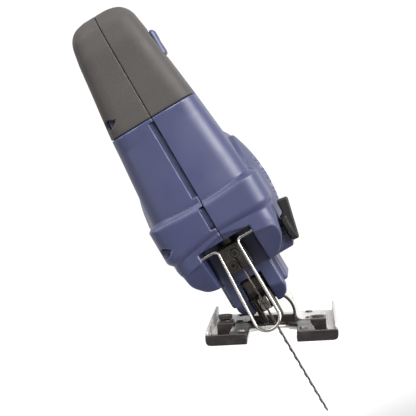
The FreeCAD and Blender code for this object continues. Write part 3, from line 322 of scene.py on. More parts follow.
def moulded(name, colour, shade, rough, grain=0.35, edge_colour=None, specular=0.5):
    """Moulded plastic or rubber: spark-eroded grain, faint flow marks and a lighter colour on sharp convex
    edges.
    """
    item, tree, principled, place = shader(name)
    cloud = spread(tree, noise(tree, place, 24.0, 4.0), 0.0, 1.0)
    base = blend_colour(tree, cloud, colour, shade)
    if edge_colour is not None:
        # sharp convex edges, found by their pointiness, take the lighter edge colour
        shape = tree.nodes.new("ShaderNodeNewGeometry").outputs["Pointiness"]
        edge_share = spread(tree, shape, 0.0, 0.55, 0.52, 0.60)
        base = blend_colour(tree, edge_share, base, edge_colour)
    tree.links.new(base, principled.inputs["Base Color"])
    smear = noise(tree, place, 55.0, 5.0)
    tree.links.new(spread(tree, smear, rough - 0.06, rough + 0.07), principled.inputs["Roughness"])
    principled.inputs["Specular IOR Level"].default_value = specular
    fine = noise(tree, place, 2600.0, 2.0)
    coarse = noise(tree, place, 900.0, 3.0)
    bump(tree, principled, ((fine, grain), (coarse, grain * 0.6)), 0.00012)
    return item


def metal(name, colour, shade, rough, metallic=1.0, stretch=(1.0, 1.0, 1.0), scale=1400.0,
          depth=0.25, stain=None):
    """Metal with a brushed, rolled or blasted grain, and faint stains."""
    item, tree, principled, place = shader(name)
    lines = noise(tree, place, scale, 4.0, stretch)
    base = blend_colour(tree, spread(tree, lines, 0.0, 1.0), colour, shade)
    patches = noise(tree, place, 90.0, 6.0)
    if stain is not None:
        base = blend_colour(tree, spread(tree, patches, 0.0, 0.6, 0.5, 0.72), base, stain)
    tree.links.new(base, principled.inputs["Base Color"])
    tree.links.new(spread(tree, patches, rough - 0.07, rough + 0.1), principled.inputs["Roughness"])
    principled.inputs["Metallic"].default_value = metallic
    bump(tree, principled, ((lines, depth),), 0.00008)
    return item


FINISHES = {
    "blue_plastic": moulded("blue_moulding", (0.026, 0.031, 0.094), (0.020, 0.025, 0.078), 0.47, 0.22,
                            (0.085, 0.10, 0.20), 0.8),
    "soft_grip": moulded("grip_rubber", (0.050, 0.044, 0.041), (0.040, 0.035, 0.033), 0.62, 0.8,
                         (0.085, 0.076, 0.071), 0.4),
    "black_plastic": moulded("black_moulding", (0.012, 0.011, 0.011), (0.008, 0.008, 0.008), 0.48, 0.4,
                             (0.035, 0.034, 0.033), 0.35),
    "carbon": moulded("pressed_carbon", (0.03, 0.03, 0.032), (0.018, 0.018, 0.02), 0.7, 0.9),
    "zinc_steel": metal("zinc_plate", (0.66, 0.64, 0.61), (0.56, 0.54, 0.52), 0.44, 0.6,
                        (1.0, 0.12, 1.0), 900.0, 0.2, (0.74, 0.72, 0.69)),
    "black_steel": metal("black_sheet", (0.026, 0.020, 0.019), (0.014, 0.011, 0.011), 0.34, 0.30,
                         (0.3, 1.0, 1.0), 1100.0, 0.3, (0.060, 0.048, 0.046)),
    # dark_steel also covers the plunger rod through its slot in model.json: painted shade, since the rod is
    # ground steel lying in shadow under the mouth's roof.
    "dark_steel": metal("blackened_steel_and_shaded_rod", (0.052, 0.047, 0.041), (0.030, 0.027, 0.024), 0.36, 0.75,
                        (1.0, 1.0, 0.4), 1600.0, 0.35, (0.13, 0.12, 0.105)),
    "blade_steel": metal("blade_band", (0.16, 0.13, 0.11), (0.09, 0.072, 0.06), 0.38, 0.9, (1.0, 1.0, 0.15),
                         1800.0, 0.3, (0.28, 0.22, 0.17)),
    "chrome_wire": metal("bright_wire", (0.42, 0.40, 0.37), (0.34, 0.32, 0.30), 0.2, 1.0, (1.0, 1.0, 0.1),
                         700.0, 0.08),
    "bearing_steel": metal("ground_steel", (0.24, 0.22, 0.20), (0.16, 0.15, 0.14), 0.28, 1.0, (1.0, 0.2, 1.0),
                           2000.0, 0.2, (0.33, 0.31, 0.28)),
    "core_steel": metal("machined_steel", (0.34, 0.34, 0.35), (0.24, 0.24, 0.25), 0.38, 1.0, (0.2, 1.0, 1.0),
                        1500.0, 0.3, (0.2, 0.19, 0.18)),
    "cast_alloy": metal("cast_alloy", (0.55, 0.55, 0.56), (0.44, 0.44, 0.46), 0.5, 1.0, (1.0, 1.0, 1.0),
                        1200.0, 0.6),
    "bronze": metal("sintered_bronze", (0.48, 0.32, 0.16), (0.36, 0.23, 0.11), 0.5, 1.0, (1.0, 1.0, 1.0),
                    2200.0, 0.7),
    "brass": metal("sheet_brass", (0.68, 0.50, 0.20), (0.56, 0.41, 0.16), 0.3, 1.0, (0.2, 1.0, 1.0),
                   1300.0, 0.2),
    "copper": metal("enamelled_copper", (0.55, 0.20, 0.08), (0.38, 0.12, 0.05), 0.28, 1.0, (0.15, 1.0, 1.0),
                    1800.0, 0.5),
}

SLOTS = {part["node"]: part["material_slot"] for part in frame["record"]["subparts"]}


def keep(node, edge=0.25):
    """A CAD node that is shown as it is: its slot's finish and slightly broken edges."""
    item = NODES[node]
    item.data.materials.clear()
    item.data.materials.append(FINISHES[SLOTS[node]])
    if edge:
        bevel = item.modifiers.new("broken_edges", "BEVEL")
        bevel.width = edge * MM
        bevel.segments = 2
        bevel.limit_method = "ANGLE"
        bevel.angle_limit = math.radians(40)


# ------------------------------------------------------------------ sizes, in millimetres


def corners_of(*names):
    """Low and high corners of CAD nodes together, in millimetres."""
    boxes = [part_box(name) for name in names]
    low = np.min([corner[0] for corner in boxes], axis=0) / MM
    high = np.max([corner[1] for corner in boxes], axis=0) / MM
    return low, high


GRIP_LOW, GRIP_HIGH = corners_of("grip_cover_left", "grip_cover_right")
CLAMP_LOW, CLAMP_HIGH = corners_of("blade_clamp")
ROLLER_LOW, ROLLER_HIGH = corners_of("guide_roller")
ROLLER = 0.5 * (ROLLER_LOW + ROLLER_HIGH)
TOP = GRIP_HIGH[2] + 1.9
GRIP_EDGE = GRIP_LOW[2]

# Half widths and fronts of the three tiers: upper body, belt and lower body.
BELT_HALF, BELT_FRONT, BELT_LOW, BELT_TOP = 37.4, -24.8, 73.6, 89.8
LOWER_HALF, LOWER_FRONT, LOWER_BASE = 34.4, -21.8, 41.0
CORNER = 11.0             # rounding of the upper front corners
WALL = 2.7                # thickness of the plastic
COVER = 1.9               # thickness of the soft grip
SHOULDER = 133.0          # height at which the body narrows behind the grip
BOW_ROUND = 300.0         # the front wall falls back by x * x / BOW_ROUND
MOUTH_HALF, MOUTH_BACK, MOUTH_ROOF, GABLE = 17.0, 8.0, 66.5, 70.2

# Outlines: corners with their radii. The body seen from the front, then from the side.
HALF_CROWN = [(0, TOP, 0), (8.5, TOP - 0.2, 8), (15.6, TOP - 3.2, 11), (20.2, TOP - 10.5, 14),
              (22.6, TOP - 24, 20), (24.7, 185, 40), (26.7, 169.5, 30), (28.6, 153, 20),
              (32.6, 110, 40), (33.6, 96, 6), (34.0, 60, 0)]
CROWN = arcs(HALF_CROWN + [(-x, z, radius) for x, z, radius in reversed(HALF_CROWN[1:])])
NOSE_CORNER = arcs([(-60, LOWER_BASE, 0), (17, LOWER_BASE - 0.3, 4), (25.5, LOWER_BASE + 2.4, 8),
                    (31.4, 50.5, 12), (34.4, 64, 10), (34.4, 100, 0), (-60, 100, 0)])
NECK_FRONT = arcs([(-40, 15.6, 0), (11.0, 15.6, 2), (15.0, 18.2, 2), (16.9, 22, 3), (16.9, 40, 0),
                   (16.9, 52, 0), (-40, 52, 0)])
UPPER_SIDE = arcs([(-21.8, 60, 0), (-21.8, 96, 10), (-18.8, 152, 60), (-12, 202, 30), (-7, 216, 12),
                   (3, TOP - 1, 8), (14, TOP - 0.2, 20), (60, 215.6, 60), (104, 199, 60),
                   (136, 180, 30), (154, 160, 16), (159.7, 140, 20), (159.7, 60, 0)])
LOWER_SIDE = arcs([(-60, LOWER_BASE, 0), (76, LOWER_BASE, 4), (80, 56, 4), (148, 56, 6), (156, 62, 6),
                   (159.7, 78, 10), (159.7, 96, 0), (-60, 96, 0)])
WINDOW = arcs([(27, 136, 6), (27, 157, 10), (37, 170, 12), (52, 175, 16), (84, 172, 30), (112, 162, 20),
               (128, 149, 8), (128, 138, 6), (121, 133, 6), (33, 133, 6)])
COVER_SIDE = arcs([(-60, GRIP_EDGE, 0), (12, GRIP_EDGE, 14), (21, 184, 30), (50, 196, 60), (104, 186, 60),
                   (136, 166, 30), (146, 171, 8), (150, 260, 0), (-60, 260, 0)])

# Clamshell screws as (y, z), the radius of their wells, and the depth at which their heads sit.
SCREWS = [(-13.5, 161), (-20, 77.5), (44, 126), (74, 126), (106, 122), (142, 150), (144, 68), (66, 52)]
HEAD_ROOM = 3.2
SCREW_SEAT = -8.0

# Vents as (y, z) of their middle, and their slots as counts to either side, distances and half sizes.
VENT, VENT_GRID = (38.0, 86.0), ((1, 2), (8.6, 6.6), (3.5, 2.1))
REAR_VENT, REAR_VENT_GRID = (128.0, 96.0), ((3, 0), (5.0, 30.0), (1.2, 9.0))

# Other openings: radii or half widths, with their spans.
GUIDE_ROOM, GUIDE_ROOM_TOP, GUIDE_ROOM_SPAN = 7.6, 37.6, (0.0, 24.8)
PLUNGER_HOLE, PLUNGER_HOLE_SPAN = 5.6, (60.0, 80.0)
TRIGGER_ROOM = ((-7.9, 7.9), (30.7, 63.3), (160, 183))
INLET_HEIGHT, INLET_HOLE, INLET_START = 118.0, 6.1, 140.0
PIVOT_HEIGHT, SADDLE_ROOM, SADDLE_ROOM_SPAN = 9.02, 14.3, (23.0, 75.0)

# The foot that the shoe is clamped to, and the key under it.
FOOT = ((-20, 20), (24, 74), (24, 50))
FOOT_KEY = ((-12, 12), (24, 74), (20.2, 30))


# ------------------------------------------------------------------ clamshell body


def tail_half(y):
    """Half width that the tapering rear allows."""
    return np.interp(y, (-60, 96, 108, 140, 165), (60, 40, 33.8, 28, 21))


def solid_body(x, y, z):
    """The outside of the closed body, before anything is cut from it."""
    ax = np.abs(x)
    side = outline_field(y, z, LOWER_SIDE)
    below_grip = np.interp(z, (142.0, 156.0), (1.0, 0.0))
    bow = ax ** 2 / BOW_ROUND * np.clip((60.0 - y) / 60.0, 0.0, 1.0) * below_grip
    crown = outline_field(x, z, CROWN)
    tail = ax - tail_half(y)
    shoulder = (z - SHOULDER + 0.8 * np.maximum(ax - 17.0, 0.0)) / 1.28
    wide = both(both(crown, tail, 6.0), np.minimum(y - 26.0, shoulder), 7.0)
    slim = both(crown, ax - 19.0, 12.0)
    upper = both(union(wide, slim, 9.0), outline_field(y - bow, z, UPPER_SIDE), CORNER)
    upper = without(upper, outline_field(y, z, WINDOW), 7.0)
    wall = both(both(ax - BELT_HALF, BELT_FRONT + 0.4 * bow - y, CORNER), tail, 5.0)
    lift = 3.0 * (ax / BELT_HALF) ** 2
    ledge = np.maximum((z - BELT_TOP - lift + wall) / math.sqrt(2.0), z - BELT_TOP - lift - 4.0)
    belt = both(wall, ledge, 0.8)
    belt = both(belt, BELT_LOW - 4.2 * np.clip(-x / 34.0, 0.0, 1.0) - z, 3.0)
    belt = both(belt, side, 3.0)
    square = both(both(ax - LOWER_HALF, 6.0 - y), side, 2.4)
    nose = both(both(ax - LOWER_HALF, LOWER_FRONT - y, 10.0), y - 12.0)
    nose = both(both(nose, z - 90.0), LOWER_BASE - z, 2.0)
    corner = outline_field(ax, z, NOSE_CORNER)
    nose = both(nose, corner, 2.0)
    square = np.where(x < 0.0, both(square, corner, 2.0), square)
    lower = both(union(square, nose, 0.8), tail, 5.0)
    fall = 64.9 - 0.19 * ax - z
    chin = (y - LOWER_FRONT - 1.2 - fall * 0.7) / math.hypot(1.0, 0.7)
    lower = without(lower, both(chin, -fall), 0.5)
    body = union(union(upper, belt, 0.9), lower, 4.5)
    away = np.hypot(y - VENT[0], z - VENT[1])
    dome = both(ax - 40.7 + away ** 2 / 175.0, away - 32.6, 1.6)
    return union(body, both(dome, 25.0 - ax), 0.8)


def neck(x, y, z):
    """The neck in front of the foot, and the foot that the shoe is clamped to."""
    ax = np.abs(x)
    front = outline_field(ax, z, NECK_FRONT)
    stem = both(front, slab(y, MOUTH_BACK, 24.5), 1.6)
    foot = box_field(x, y, z, FOOT, 2.0)
    key = box_field(x, y, z, FOOT_KEY, 1.2)
    return union(union(stem, foot, 1.0), key, 0.8)


def mouth(x, y, z):
    """The space round the blade clamp, and the shallow gable pressed into the brow above it."""
    ax = np.abs(x)
    splay = ax - MOUTH_HALF - 0.05 * np.maximum(MOUTH_BACK - 14.0 - y, 0.0)
    space = both(both(splay, z - MOUTH_ROOF, 1.2), y - MOUTH_BACK, 3.0)
    slope_in = (y - LOWER_FRONT - 0.9 - 0.7 * (GABLE - 0.24 * ax - z)) / 1.22
    gable = both(both(slope_in, z - GABLE + 0.24 * ax), ax - MOUTH_HALF - 0.6)
    return union(space, gable)


def counterbores(x, y, z, spare=0.0):
    """The wells of the clamshell screws, all on the right half."""
    wells = None
    for y0, z0 in SCREWS:
        well = both(np.hypot(y - y0, z - z0) - HEAD_ROOM - spare, x - SCREW_SEAT - spare)
        wells = well if wells is None else np.minimum(wells, well)
    return wells


def grid_of_slots(x, y, z, centre, counts, apart, half):
    """A grid of small openings through the flanks."""
    u = (y - centre[0]) / apart[0]
    v = (z - centre[1]) / apart[1]
    u = u - np.clip(np.round(u), -counts[0], counts[0])
    v = v - np.clip(np.round(v), -counts[1], counts[1])
    slot = both(np.abs(u) * apart[0] - half[0], np.abs(v) * apart[1] - half[1], 0.6)
    return both(slot, 14.0 - np.abs(x))


def openings(x, y, z):
    """All that is cut through the body's wall."""
    cuts = mouth(x, y, z)
    guide = both(both(np.abs(x) - GUIDE_ROOM, z - GUIDE_ROOM_TOP, 1.0), slab(y, *GUIDE_ROOM_SPAN))
    cuts = union(cuts, guide)
    cuts = union(cuts, both(np.hypot(x, y) - PLUNGER_HOLE, slab(z, *PLUNGER_HOLE_SPAN)))
    cuts = union(cuts, grid_of_slots(x, y, z, VENT, *VENT_GRID))
    cuts = union(cuts, grid_of_slots(x, y, z, REAR_VENT, *REAR_VENT_GRID))
    cuts = union(cuts, both(np.hypot(x, z - INLET_HEIGHT) - INLET_HOLE, INLET_START - y))
    cuts = union(cuts, box_field(x, y, z, TRIGGER_ROOM))
    saddle_room = both(np.hypot(x, z - PIVOT_HEIGHT) - SADDLE_ROOM, slab(y, *SADDLE_ROOM_SPAN))
    return union(cuts, saddle_room)


def button_way(x, y, z, spare):
    """The hole in the left flank that the lock button slides in."""
    low, high = corners_of("lock_button")
    spans = ((10.0, 40.0), (low[1] - spare, high[1] + spare), (low[2] - spare, high[2] + spare))
    return box_field(x, y, z, spans, 4.0)


def channel(x, y, z, depth):
    """The shallow groove beside the seam, down the front, open only at the front wall."""
    groove = both(np.abs(x + 1.5) - 1.7, union(slab(z, 97.5, 149.5), slab(z, 75.5, 90.5)), 0.5)
    return both(both(groove, y), -(depth + 2.2), 0.3)


def body_wall(x, y, z):
    """The body's plastic: wall, screw bosses, mouth lining, neck and foot."""
    outside = solid_body(x, y, z)
    covered = outline_field(y, z, COVER_SIDE)
    hollow = union(both(outside + WALL, -(covered - 2.0)), outside + WALL + COVER)
    lining = both(mouth(x, y, z) - 2.4, z - 90.0)
    hollow = both(both(hollow, -lining), -counterbores(x, y, z, 1.5))
    hollow = both(hollow, 45.0 - z)
    backing = both(both(np.abs(x + 1.7) - 3.4, y), -(outside + 5.4))
    hollow = both(hollow, -backing)
    plastic = union(without(outside, hollow), neck(x, y, z), 1.0)
    plastic = without(plastic, both(-(outside + COVER + 0.15), covered - 0.15))
    plastic = without(plastic, channel(x, y, z, outside), 0.3)
    plastic = without(plastic, openings(x, y, z), 0.9)
    plastic = without(plastic, counterbores(x, y, z), 0.5)
    return without(plastic, button_way(x, y, z, 0.3), 0.5)


def cover_wall(x, y, z):
    """The soft grip moulded over the front and top of the handle."""
    outside = solid_body(x, y, z)
    covered = outline_field(y, z, COVER_SIDE) + 0.2
    skin = both(both(outside, -(outside + COVER), 0.5), covered, 0.9)
    skin = without(skin, counterbores(x, y, z), 0.5)
    return without(skin, button_way(x, y, z, 0.4), 0.8)


def half_of(field, side, gap):
    """One side of the parting plane, its edges slightly rounded."""
    return lambda x, y, z: both(field(x, y, z), gap - side * x, 0.4)


def build_body():
    """The two halves of the casing and of the soft grip; the grid is closer at the nose."""
    closer = (None, (-26, 26, 0.75), (30, 100, 0.75))
    for side, name in ((1, "left"), (-1, "right")):
        flank = (0.0, 41.0) if side > 0 else (-41.0, 0.0)
        spans = (flank, (-26, 161), (15, 222))
        casing = carve("casing_" + name, half_of(body_wall, side, 0.10), spans, 1.05, closer)
        finish_piece(casing, "housing", "blue_plastic", "housing_" + name)
        slim = (0.0, 30.0) if side > 0 else (-30.0, 0.0)
        spans = (slim, (-20, 152), (150, 222))
        grip = carve("grip_" + name, half_of(cover_wall, side, 0.14), spans, 0.8)
        finish_piece(grip, "housing", "soft_grip", "grip_cover_" + name)


# ------------------------------------------------------------------ plunger end, blade and guide


CLAMP_SCREWS = ((0.9, 55.8), (-3.8, 49.8))
BLADE_LOW, BLADE_HIGH = corners_of("blade")
BLADE_TOP = 59.0
TOOTH_PITCH, TEETH, FIRST_TOOTH, SET_LENGTH = 3.0, 28, 4.0, 88.0
GUIDE_SIDE = arcs([(5.2, 7.6, 1.2), (12.6, 7.6, 2), (15.2, 14, 4), (20.4, 29, 4), (20.4, 36.8, 2),
                   (13.6, 36.8, 2), (11.4, 27.5, 4), (5.2, 24.6, 2)])
GUIDE_PIN, PIN_HOLE = (17.0, 34.5), 1.6


def clamp_field(x, y, z):
    """A two-step steel block with a slot for the blade and bosses with holes for its two screws."""
    low, high = CLAMP_LOW, CLAMP_HIGH
    rear_spans = ((low[0], high[0]), (low[1] + 3.2, high[1]), (low[2] + 0.4, high[2]))
    front_spans = ((low[0], high[0] - 2.6), (low[1], high[1] - 4), (low[2], high[2] - 1.0))
    rear = box_field(x, y, z, rear_spans, 0.8)
    front = box_field(x, y, z, front_spans, 0.9)
    block = union(rear, front, 0.6)
    for sx, sz in CLAMP_SCREWS:
        off = np.hypot(x - sx, z - sz)
        block = union(block, both(off - 4.1, slab(y, low[1], low[1] + 4), 0.5), 0.7)
        block = without(block, both(off - 2.75, y + 4.2), 0.4)
    block = without(block, both(both(np.abs(x) - 0.75, y - 3.5), z - BLADE_TOP), 0.2)
    return both(block, low[1] + 0.02 - y)


def blade_field(x, y, z):
    """A thin band whose teeth are bent to the left and to the right in turn."""
    front, back, tip = BLADE_LOW[1], BLADE_HIGH[1], BLADE_LOW[2]
    phase = (z - tip - FIRST_TOOTH) / TOOTH_PITCH
    sharp = phase - np.floor(phase)
    height = np.where(sharp < 0.35, sharp / 0.35, (1.0 - sharp) / 0.65)
    toothed = (z > tip + FIRST_TOOTH) & (z < tip + FIRST_TOOTH + TEETH * TOOTH_PITCH)
    edge = front + np.where(toothed, 1.5 * height, 0.0)
    near_edge = np.clip((front + 3.0 - y) / 2.4, 0.0, 1.0)
    bend = 0.42 * np.sin(np.pi * phase) * near_edge * (z < tip + SET_LENGTH)
    band = both(np.abs(x - bend) - 0.52, (edge - y) * 0.75, 0.2)
    band = both(band, y - back, 0.2)
    point = outline_field(y, z, [(front, tip + FIRST_TOOTH), (back - 2.0, tip + 0.1), (back, tip + 1.6),
                                 (back, BLADE_TOP), (front, BLADE_TOP)])
    return both(band, point, 0.2)


def guide_field(x, y, z):
    """The blade guide: two cheeks joined at the top, with a flute along the front of each."""
    ax = np.abs(x)
    fork = both(outline_field(y, z, GUIDE_SIDE), ax - 6.9, 0.9)
    gap = both(both(ax - 3.6, y - 15.0), z - 26.0, 1.0)
    fork = without(fork, gap, 0.5)
    flute = both(np.abs(ax - 5.2) - 0.55, slab(z, 9.0, 23.0), 0.4)
    fork = without(fork, both(flute, y - 6.0), 0.3)
    for cy, cz in ((ROLLER[1], ROLLER[2]), GUIDE_PIN):
        fork = without(fork, np.hypot(y - cy, z - cz) - PIN_HOLE, 0.2)
    return fork


def roller_field(x, y, z):
    """A hard roller with flanges and a groove for the blade's back."""
    radius, half = 0.5 * (ROLLER_HIGH[1] - ROLLER_LOW[1]), ROLLER_HIGH[0]
    off = np.hypot(y - ROLLER[1], z - ROLLER[2])
    wheel = both(off - radius, np.abs(x) - half, 0.7)
    wheel = without(wheel, both(np.abs(x) - 0.75, radius - 1.1 - off, 0.3), 0.2)
    return without(wheel, off - PIN_HOLE, 0.2)


def build_plunger_end():
    """The clamp and blade, which move with the plunger, and the guide with its roller."""
    clamp = carve("clamp_block", clamp_field, list(zip(CLAMP_LOW, CLAMP_HIGH)), 0.3)
    finish_piece(clamp, "plunger", "dark_steel", "blade_clamp")
    spans = ((-1.2, 1.2), (BLADE_LOW[1], BLADE_HIGH[1]), (BLADE_LOW[2], BLADE_TOP))
    saw = carve("saw_band", blade_field, spans, (0.2, 0.28, 0.3))
    finish_piece(saw, "plunger", "blade_steel", "blade")
    fork = carve("blade_guide", guide_field, ((-7, 7), (5, 21), (7, 37)), 0.32)
    finish_piece(fork, "guide", "dark_steel", "roller_guide")
    wheel = carve("guide_wheel", roller_field, list(zip(ROLLER_LOW, ROLLER_HIGH)), 0.22)
    finish_piece(wheel, "roller", "bearing_steel", "guide_roller")


# ------------------------------------------------------------------ controls

RIB_MIDDLE, RIB_PITCH, RIB_REACH = 47.0, 2.4, 10.0
LEVER_FRONT = arcs([(34.9, 44.0, 1.2), (39.2, 43.7, 1.2), (45.5, 69.1, 1.6), (38.2, 70.2, 1.6),
                    (37.9, 62.6, 2), (34.9, 58.6, 2)])
LEVER_PIVOT = (6.0, 52.5)
LEVER_FACE_FOOT, LEVER_FACE_LEAN = (39.2, 43.7), 0.248


def trigger_field(x, y, z):
    """The finger trigger: a rounded bar with a curved underside and grip ribs across it."""
    low, high = corners_of("trigger")
    side = arcs([(low[1], 186, 0), (low[1], 170, 4), (low[1] + 6, 164.4, 6), (45, low[2] + 0.4, 16),
                 (high[1] - 6, 164.8, 8), (high[1], 172, 4), (high[1], 186, 0)])
    bar = both(outline_field(y, z, side), np.abs(x) - high[0], 3.0)
    off = y - RIB_MIDDLE
    rib = 0.28 * np.cos(2.0 * np.pi * off / RIB_PITCH) * (np.abs(off) < RIB_REACH)
    return bar + rib * smooth_change(z, 170.0, 166.0)


def button_field(x, y, z):
    """The lock button: a rounded key with a dished face and a groove round its sides."""
    low, high = corners_of("lock_button")
    key = box_field(x, y, z, ((low[0], high[0]), (low[1], high[1]), (low[2], high[2])), 2.6)
    middle = 0.5 * (low + high)
    dish = np.sqrt(((y - middle[1]) / 4.0) ** 2 + ((z - middle[2]) / 7.0) ** 2) - 1.0
    key = without(key, both(dish * 4.0, high[0] - 0.9 - x, 0.6), 0.5)
    core_spans = ((low[0] - 5, high[0] + 5), (low[1] + 0.5, high[1] - 0.5), (low[2] + 0.5, high[2] - 0.5))
    side_groove = both(np.abs(x - high[0] + 3.4) - 0.35, -box_field(x, y, z, core_spans, 2.4))
    return without(key, side_groove, 0.2)


def lever_field(x, y, z):
    """The orbit selector: a wedge-shaped arm on a round boss, with grooves for the thumb."""
    centre_y, centre_z = LEVER_PIVOT
    arm = both(outline_field(x, z, LEVER_FRONT), slab(y, centre_y - 5.0, centre_y + 5.0), 1.2)
    face = x - LEVER_FACE_FOOT[0] - (z - LEVER_FACE_FOOT[1]) * LEVER_FACE_LEAN
    groove = both(np.abs(np.mod(z, 2.6) - 1.3) - 0.45, -0.5 - face)
    groove = both(both(groove, slab(y, centre_y - 3.6, centre_y + 3.6)), slab(z, 56.0, 68.0), 0.4)
    arm = without(arm, groove, 0.3)
    off = np.hypot(y - centre_y, z - centre_z)
    boss = both(off - 8.4, slab(x, 34.9, 38.4), 0.9)
    stub = both(off - 2.95, slab(x, 25.0, 36.0))
    return union(union(arm, boss, 0.8), stub)


def bush_field(x, y, z):
    """The rubber bush round the cord inlet, ribbed at its outer end."""
    off = np.hypot(x, z - INLET_HEIGHT)
    rib = 0.5 * np.maximum(np.cos((y - 161.6) * np.pi / 1.2), -0.4) * (y > 159.4)
    sleeve = both(off - 5.5 - rib, slab(y, 148.2, 162.9), 0.6)
    return without(sleeve, off - 4.25, 0.5)


def build_controls():
    """The trigger, lock button, selector and inlet bush, each in its node's box."""
    for name, field, node, pitch, body, slot in (
            ("finger_trigger", trigger_field, "trigger", 0.5, "trigger", "black_plastic"),
            ("lock_key", button_field, "lock_button", 0.35, "lock_button", "blue_plastic"),
            ("selector_lever", lever_field, "orbit_selector", 0.4, "selector", "black_plastic"),
            ("inlet_sleeve", bush_field, "inlet_bush", 0.35, "housing", "black_plastic")):
        finish_piece(carve(name, field, list(zip(*corners_of(node))), pitch), body, slot, node)


# ------------------------------------------------------------------ wire guard


WIRE_RADIUS = 1.0


def build_guard():
    """Bright wire: two tips in the cheeks, two legs and a round bow in front of the blade."""
    top, foot = np.array((0.0, -20.0, 63.0)), np.array((0.0, -41.0, 15.0))
    tip, leg, bow, bend = 18.4, 6.8, 8.0, 3.0
    length = np.linalg.norm(foot - top)
    down = (foot - top) / length
    spread_angle = math.atan2(bow - leg, length)
    half_turn = 0.5 * (math.pi / 2 - spread_angle)
    run = bend / math.tan(half_turn)
    flat = [(tip, 0.0)]
    for turn in np.linspace(0.0, 2.0 * half_turn, 9):
        flat.append((leg + run - bend * math.sin(turn), bend - bend * math.cos(turn)))
    for turn in np.linspace(-spread_angle, math.pi / 2, 13):
        flat.append((bow * math.cos(turn), length + bow * math.sin(turn)))
    flat += [(-x, along) for x, along in reversed(flat[:-1])]
    curve = bpy.data.curves.new("guard_wire", "CURVE")
    curve.dimensions = "3D"
    curve.bevel_depth = WIRE_RADIUS * MM
    curve.bevel_resolution = 6
    curve.use_fill_caps = True
    spline = curve.splines.new("POLY")
    spline.points.add(len(flat) - 1)
    for point, (x, along) in zip(spline.points, flat):
        spot = (top + down * along + np.array((x, 0.0, 0.0))) * MM
        point.co = (*spot, 1.0)
    item = bpy.data.objects.new("guard_wire", curve)
    bpy.context.scene.collection.objects.link(item)
    finish_piece(item, "guard", "chrome_wire", "wire_guard")


# ------------------------------------------------------------------ shoe, built flat and then tilted

TILT = (Matrix.Translation((-BEVEL_AXIS * math.sin(BEVEL) * MM, 0.0,
                            (BEVEL_AXIS / math.cos(BEVEL) - BEVEL_AXIS * math.cos(BEVEL)) * MM))
        @ Matrix.Rotation(BEVEL, 4, "Y"))
SHOE_HALF, SHOE_FRONT, SHEET = 39.0, -58.0, 2.0
FENCE_Y, BLOCK_X = -34.0, 27.5
SLOT = arcs([(-14.5, -80, 0), (-14.5, 3, 2), (-9, 9, 3), (-9, 16, 2.5), (9, 16, 2.5), (9, 9, 3), (14.5, 3, 2),
             (14.5, -80, 0)])
PLATE_PLAN = arcs([(-39, -56.4, 0), (39, -56.4, 0), (39, 86, 3), (33, 91.8, 4), (-33, 91.8, 4), (-39, 86, 3)])
PLATE_WINDOW = ((-10, 10), (30, 68), (-5, 9))
SADDLE_WINDOW = ((-12, 12), (44.5, 51.5), (14, 40))
COVER_PLAN = arcs([(-20, -56.2, 0), (36.6, -56.2, 0), (36.6, -48, 2), (33, -46, 2), (33, -22, 3),
                   (24, -17, 4), (24, 26.4, 0), (-20, 26.4, 0)])
LIP_FACE = arcs([(14.6, 0.05, 0.8), (38.9, 0.05, 5.4), (38.9, 6.5, 0.8), (14.6, 6.5, 0.8)])


def plate_field(x, y, z):
    """The bright sole plate: a sheet with its sides turned up, slots for a fence and two ribs."""
    ax = np.abs(x)
    outer = both(ax - SHOE_HALF + 0.05, 0.02 - z, 3.2)
    inner = both(ax - SHOE_HALF + SHEET, SHEET - z, 1.4)
    sheet = both(without(outer, inner, 0.2), z - 8.4, 0.3)
    sheet = both(sheet, outline_field(x, y, PLATE_PLAN), 0.5)
    sheet = both(sheet, np.minimum(z - SHEET - 0.6, y - 84.8) * 0.8)
    slot = box_field(x, y, z, ((-60, 60), (FENCE_Y - 8, FENCE_Y + 8), (3.6, 7.8)), 0.8)
    slot = both(slot, 35.0 - ax)
    sheet = without(sheet, slot, 0.3)
    sheet = without(sheet, outline_field(x, y, SLOT), 0.3)
    sheet = without(sheet, box_field(x, y, z, PLATE_WINDOW, 2.0), 0.3)
    rib = both(both(np.abs(ax - 31.5) - 1.6, slab(y, 4, 82), 1.5), slab(z, SHEET - 0.5, SHEET + 0.55), 0.6)
    return union(sheet, rib, 1.0)


def arch_section(x, z):
    """The saddle's bent sheet, seen from the front: an arch with a foot to each side."""
    ax = np.abs(x)
    outer = union(np.hypot(x, z - BEVEL_AXIS) - 13.95, both(ax - 13.95, z - BEVEL_AXIS))
    feet = both(ax - 29.9, z - 3.75)
    outer = union(outer, feet, 5.0)
    inner = np.minimum(np.hypot(x, z - BEVEL_AXIS) - 12.25, both(ax - 12.25, z - BEVEL_AXIS))
    return both(without(outer, inner), SHEET + 0.03 - z)


def saddle_field(x, y, z):
    """The saddle under the body's foot, with a window for the clamp bolt."""
    sheet = both(arch_section(x, z), slab(y, 26.6, 72.0), 0.4)
    return without(sheet, box_field(x, y, z, SADDLE_WINDOW, 0.5), 0.2)


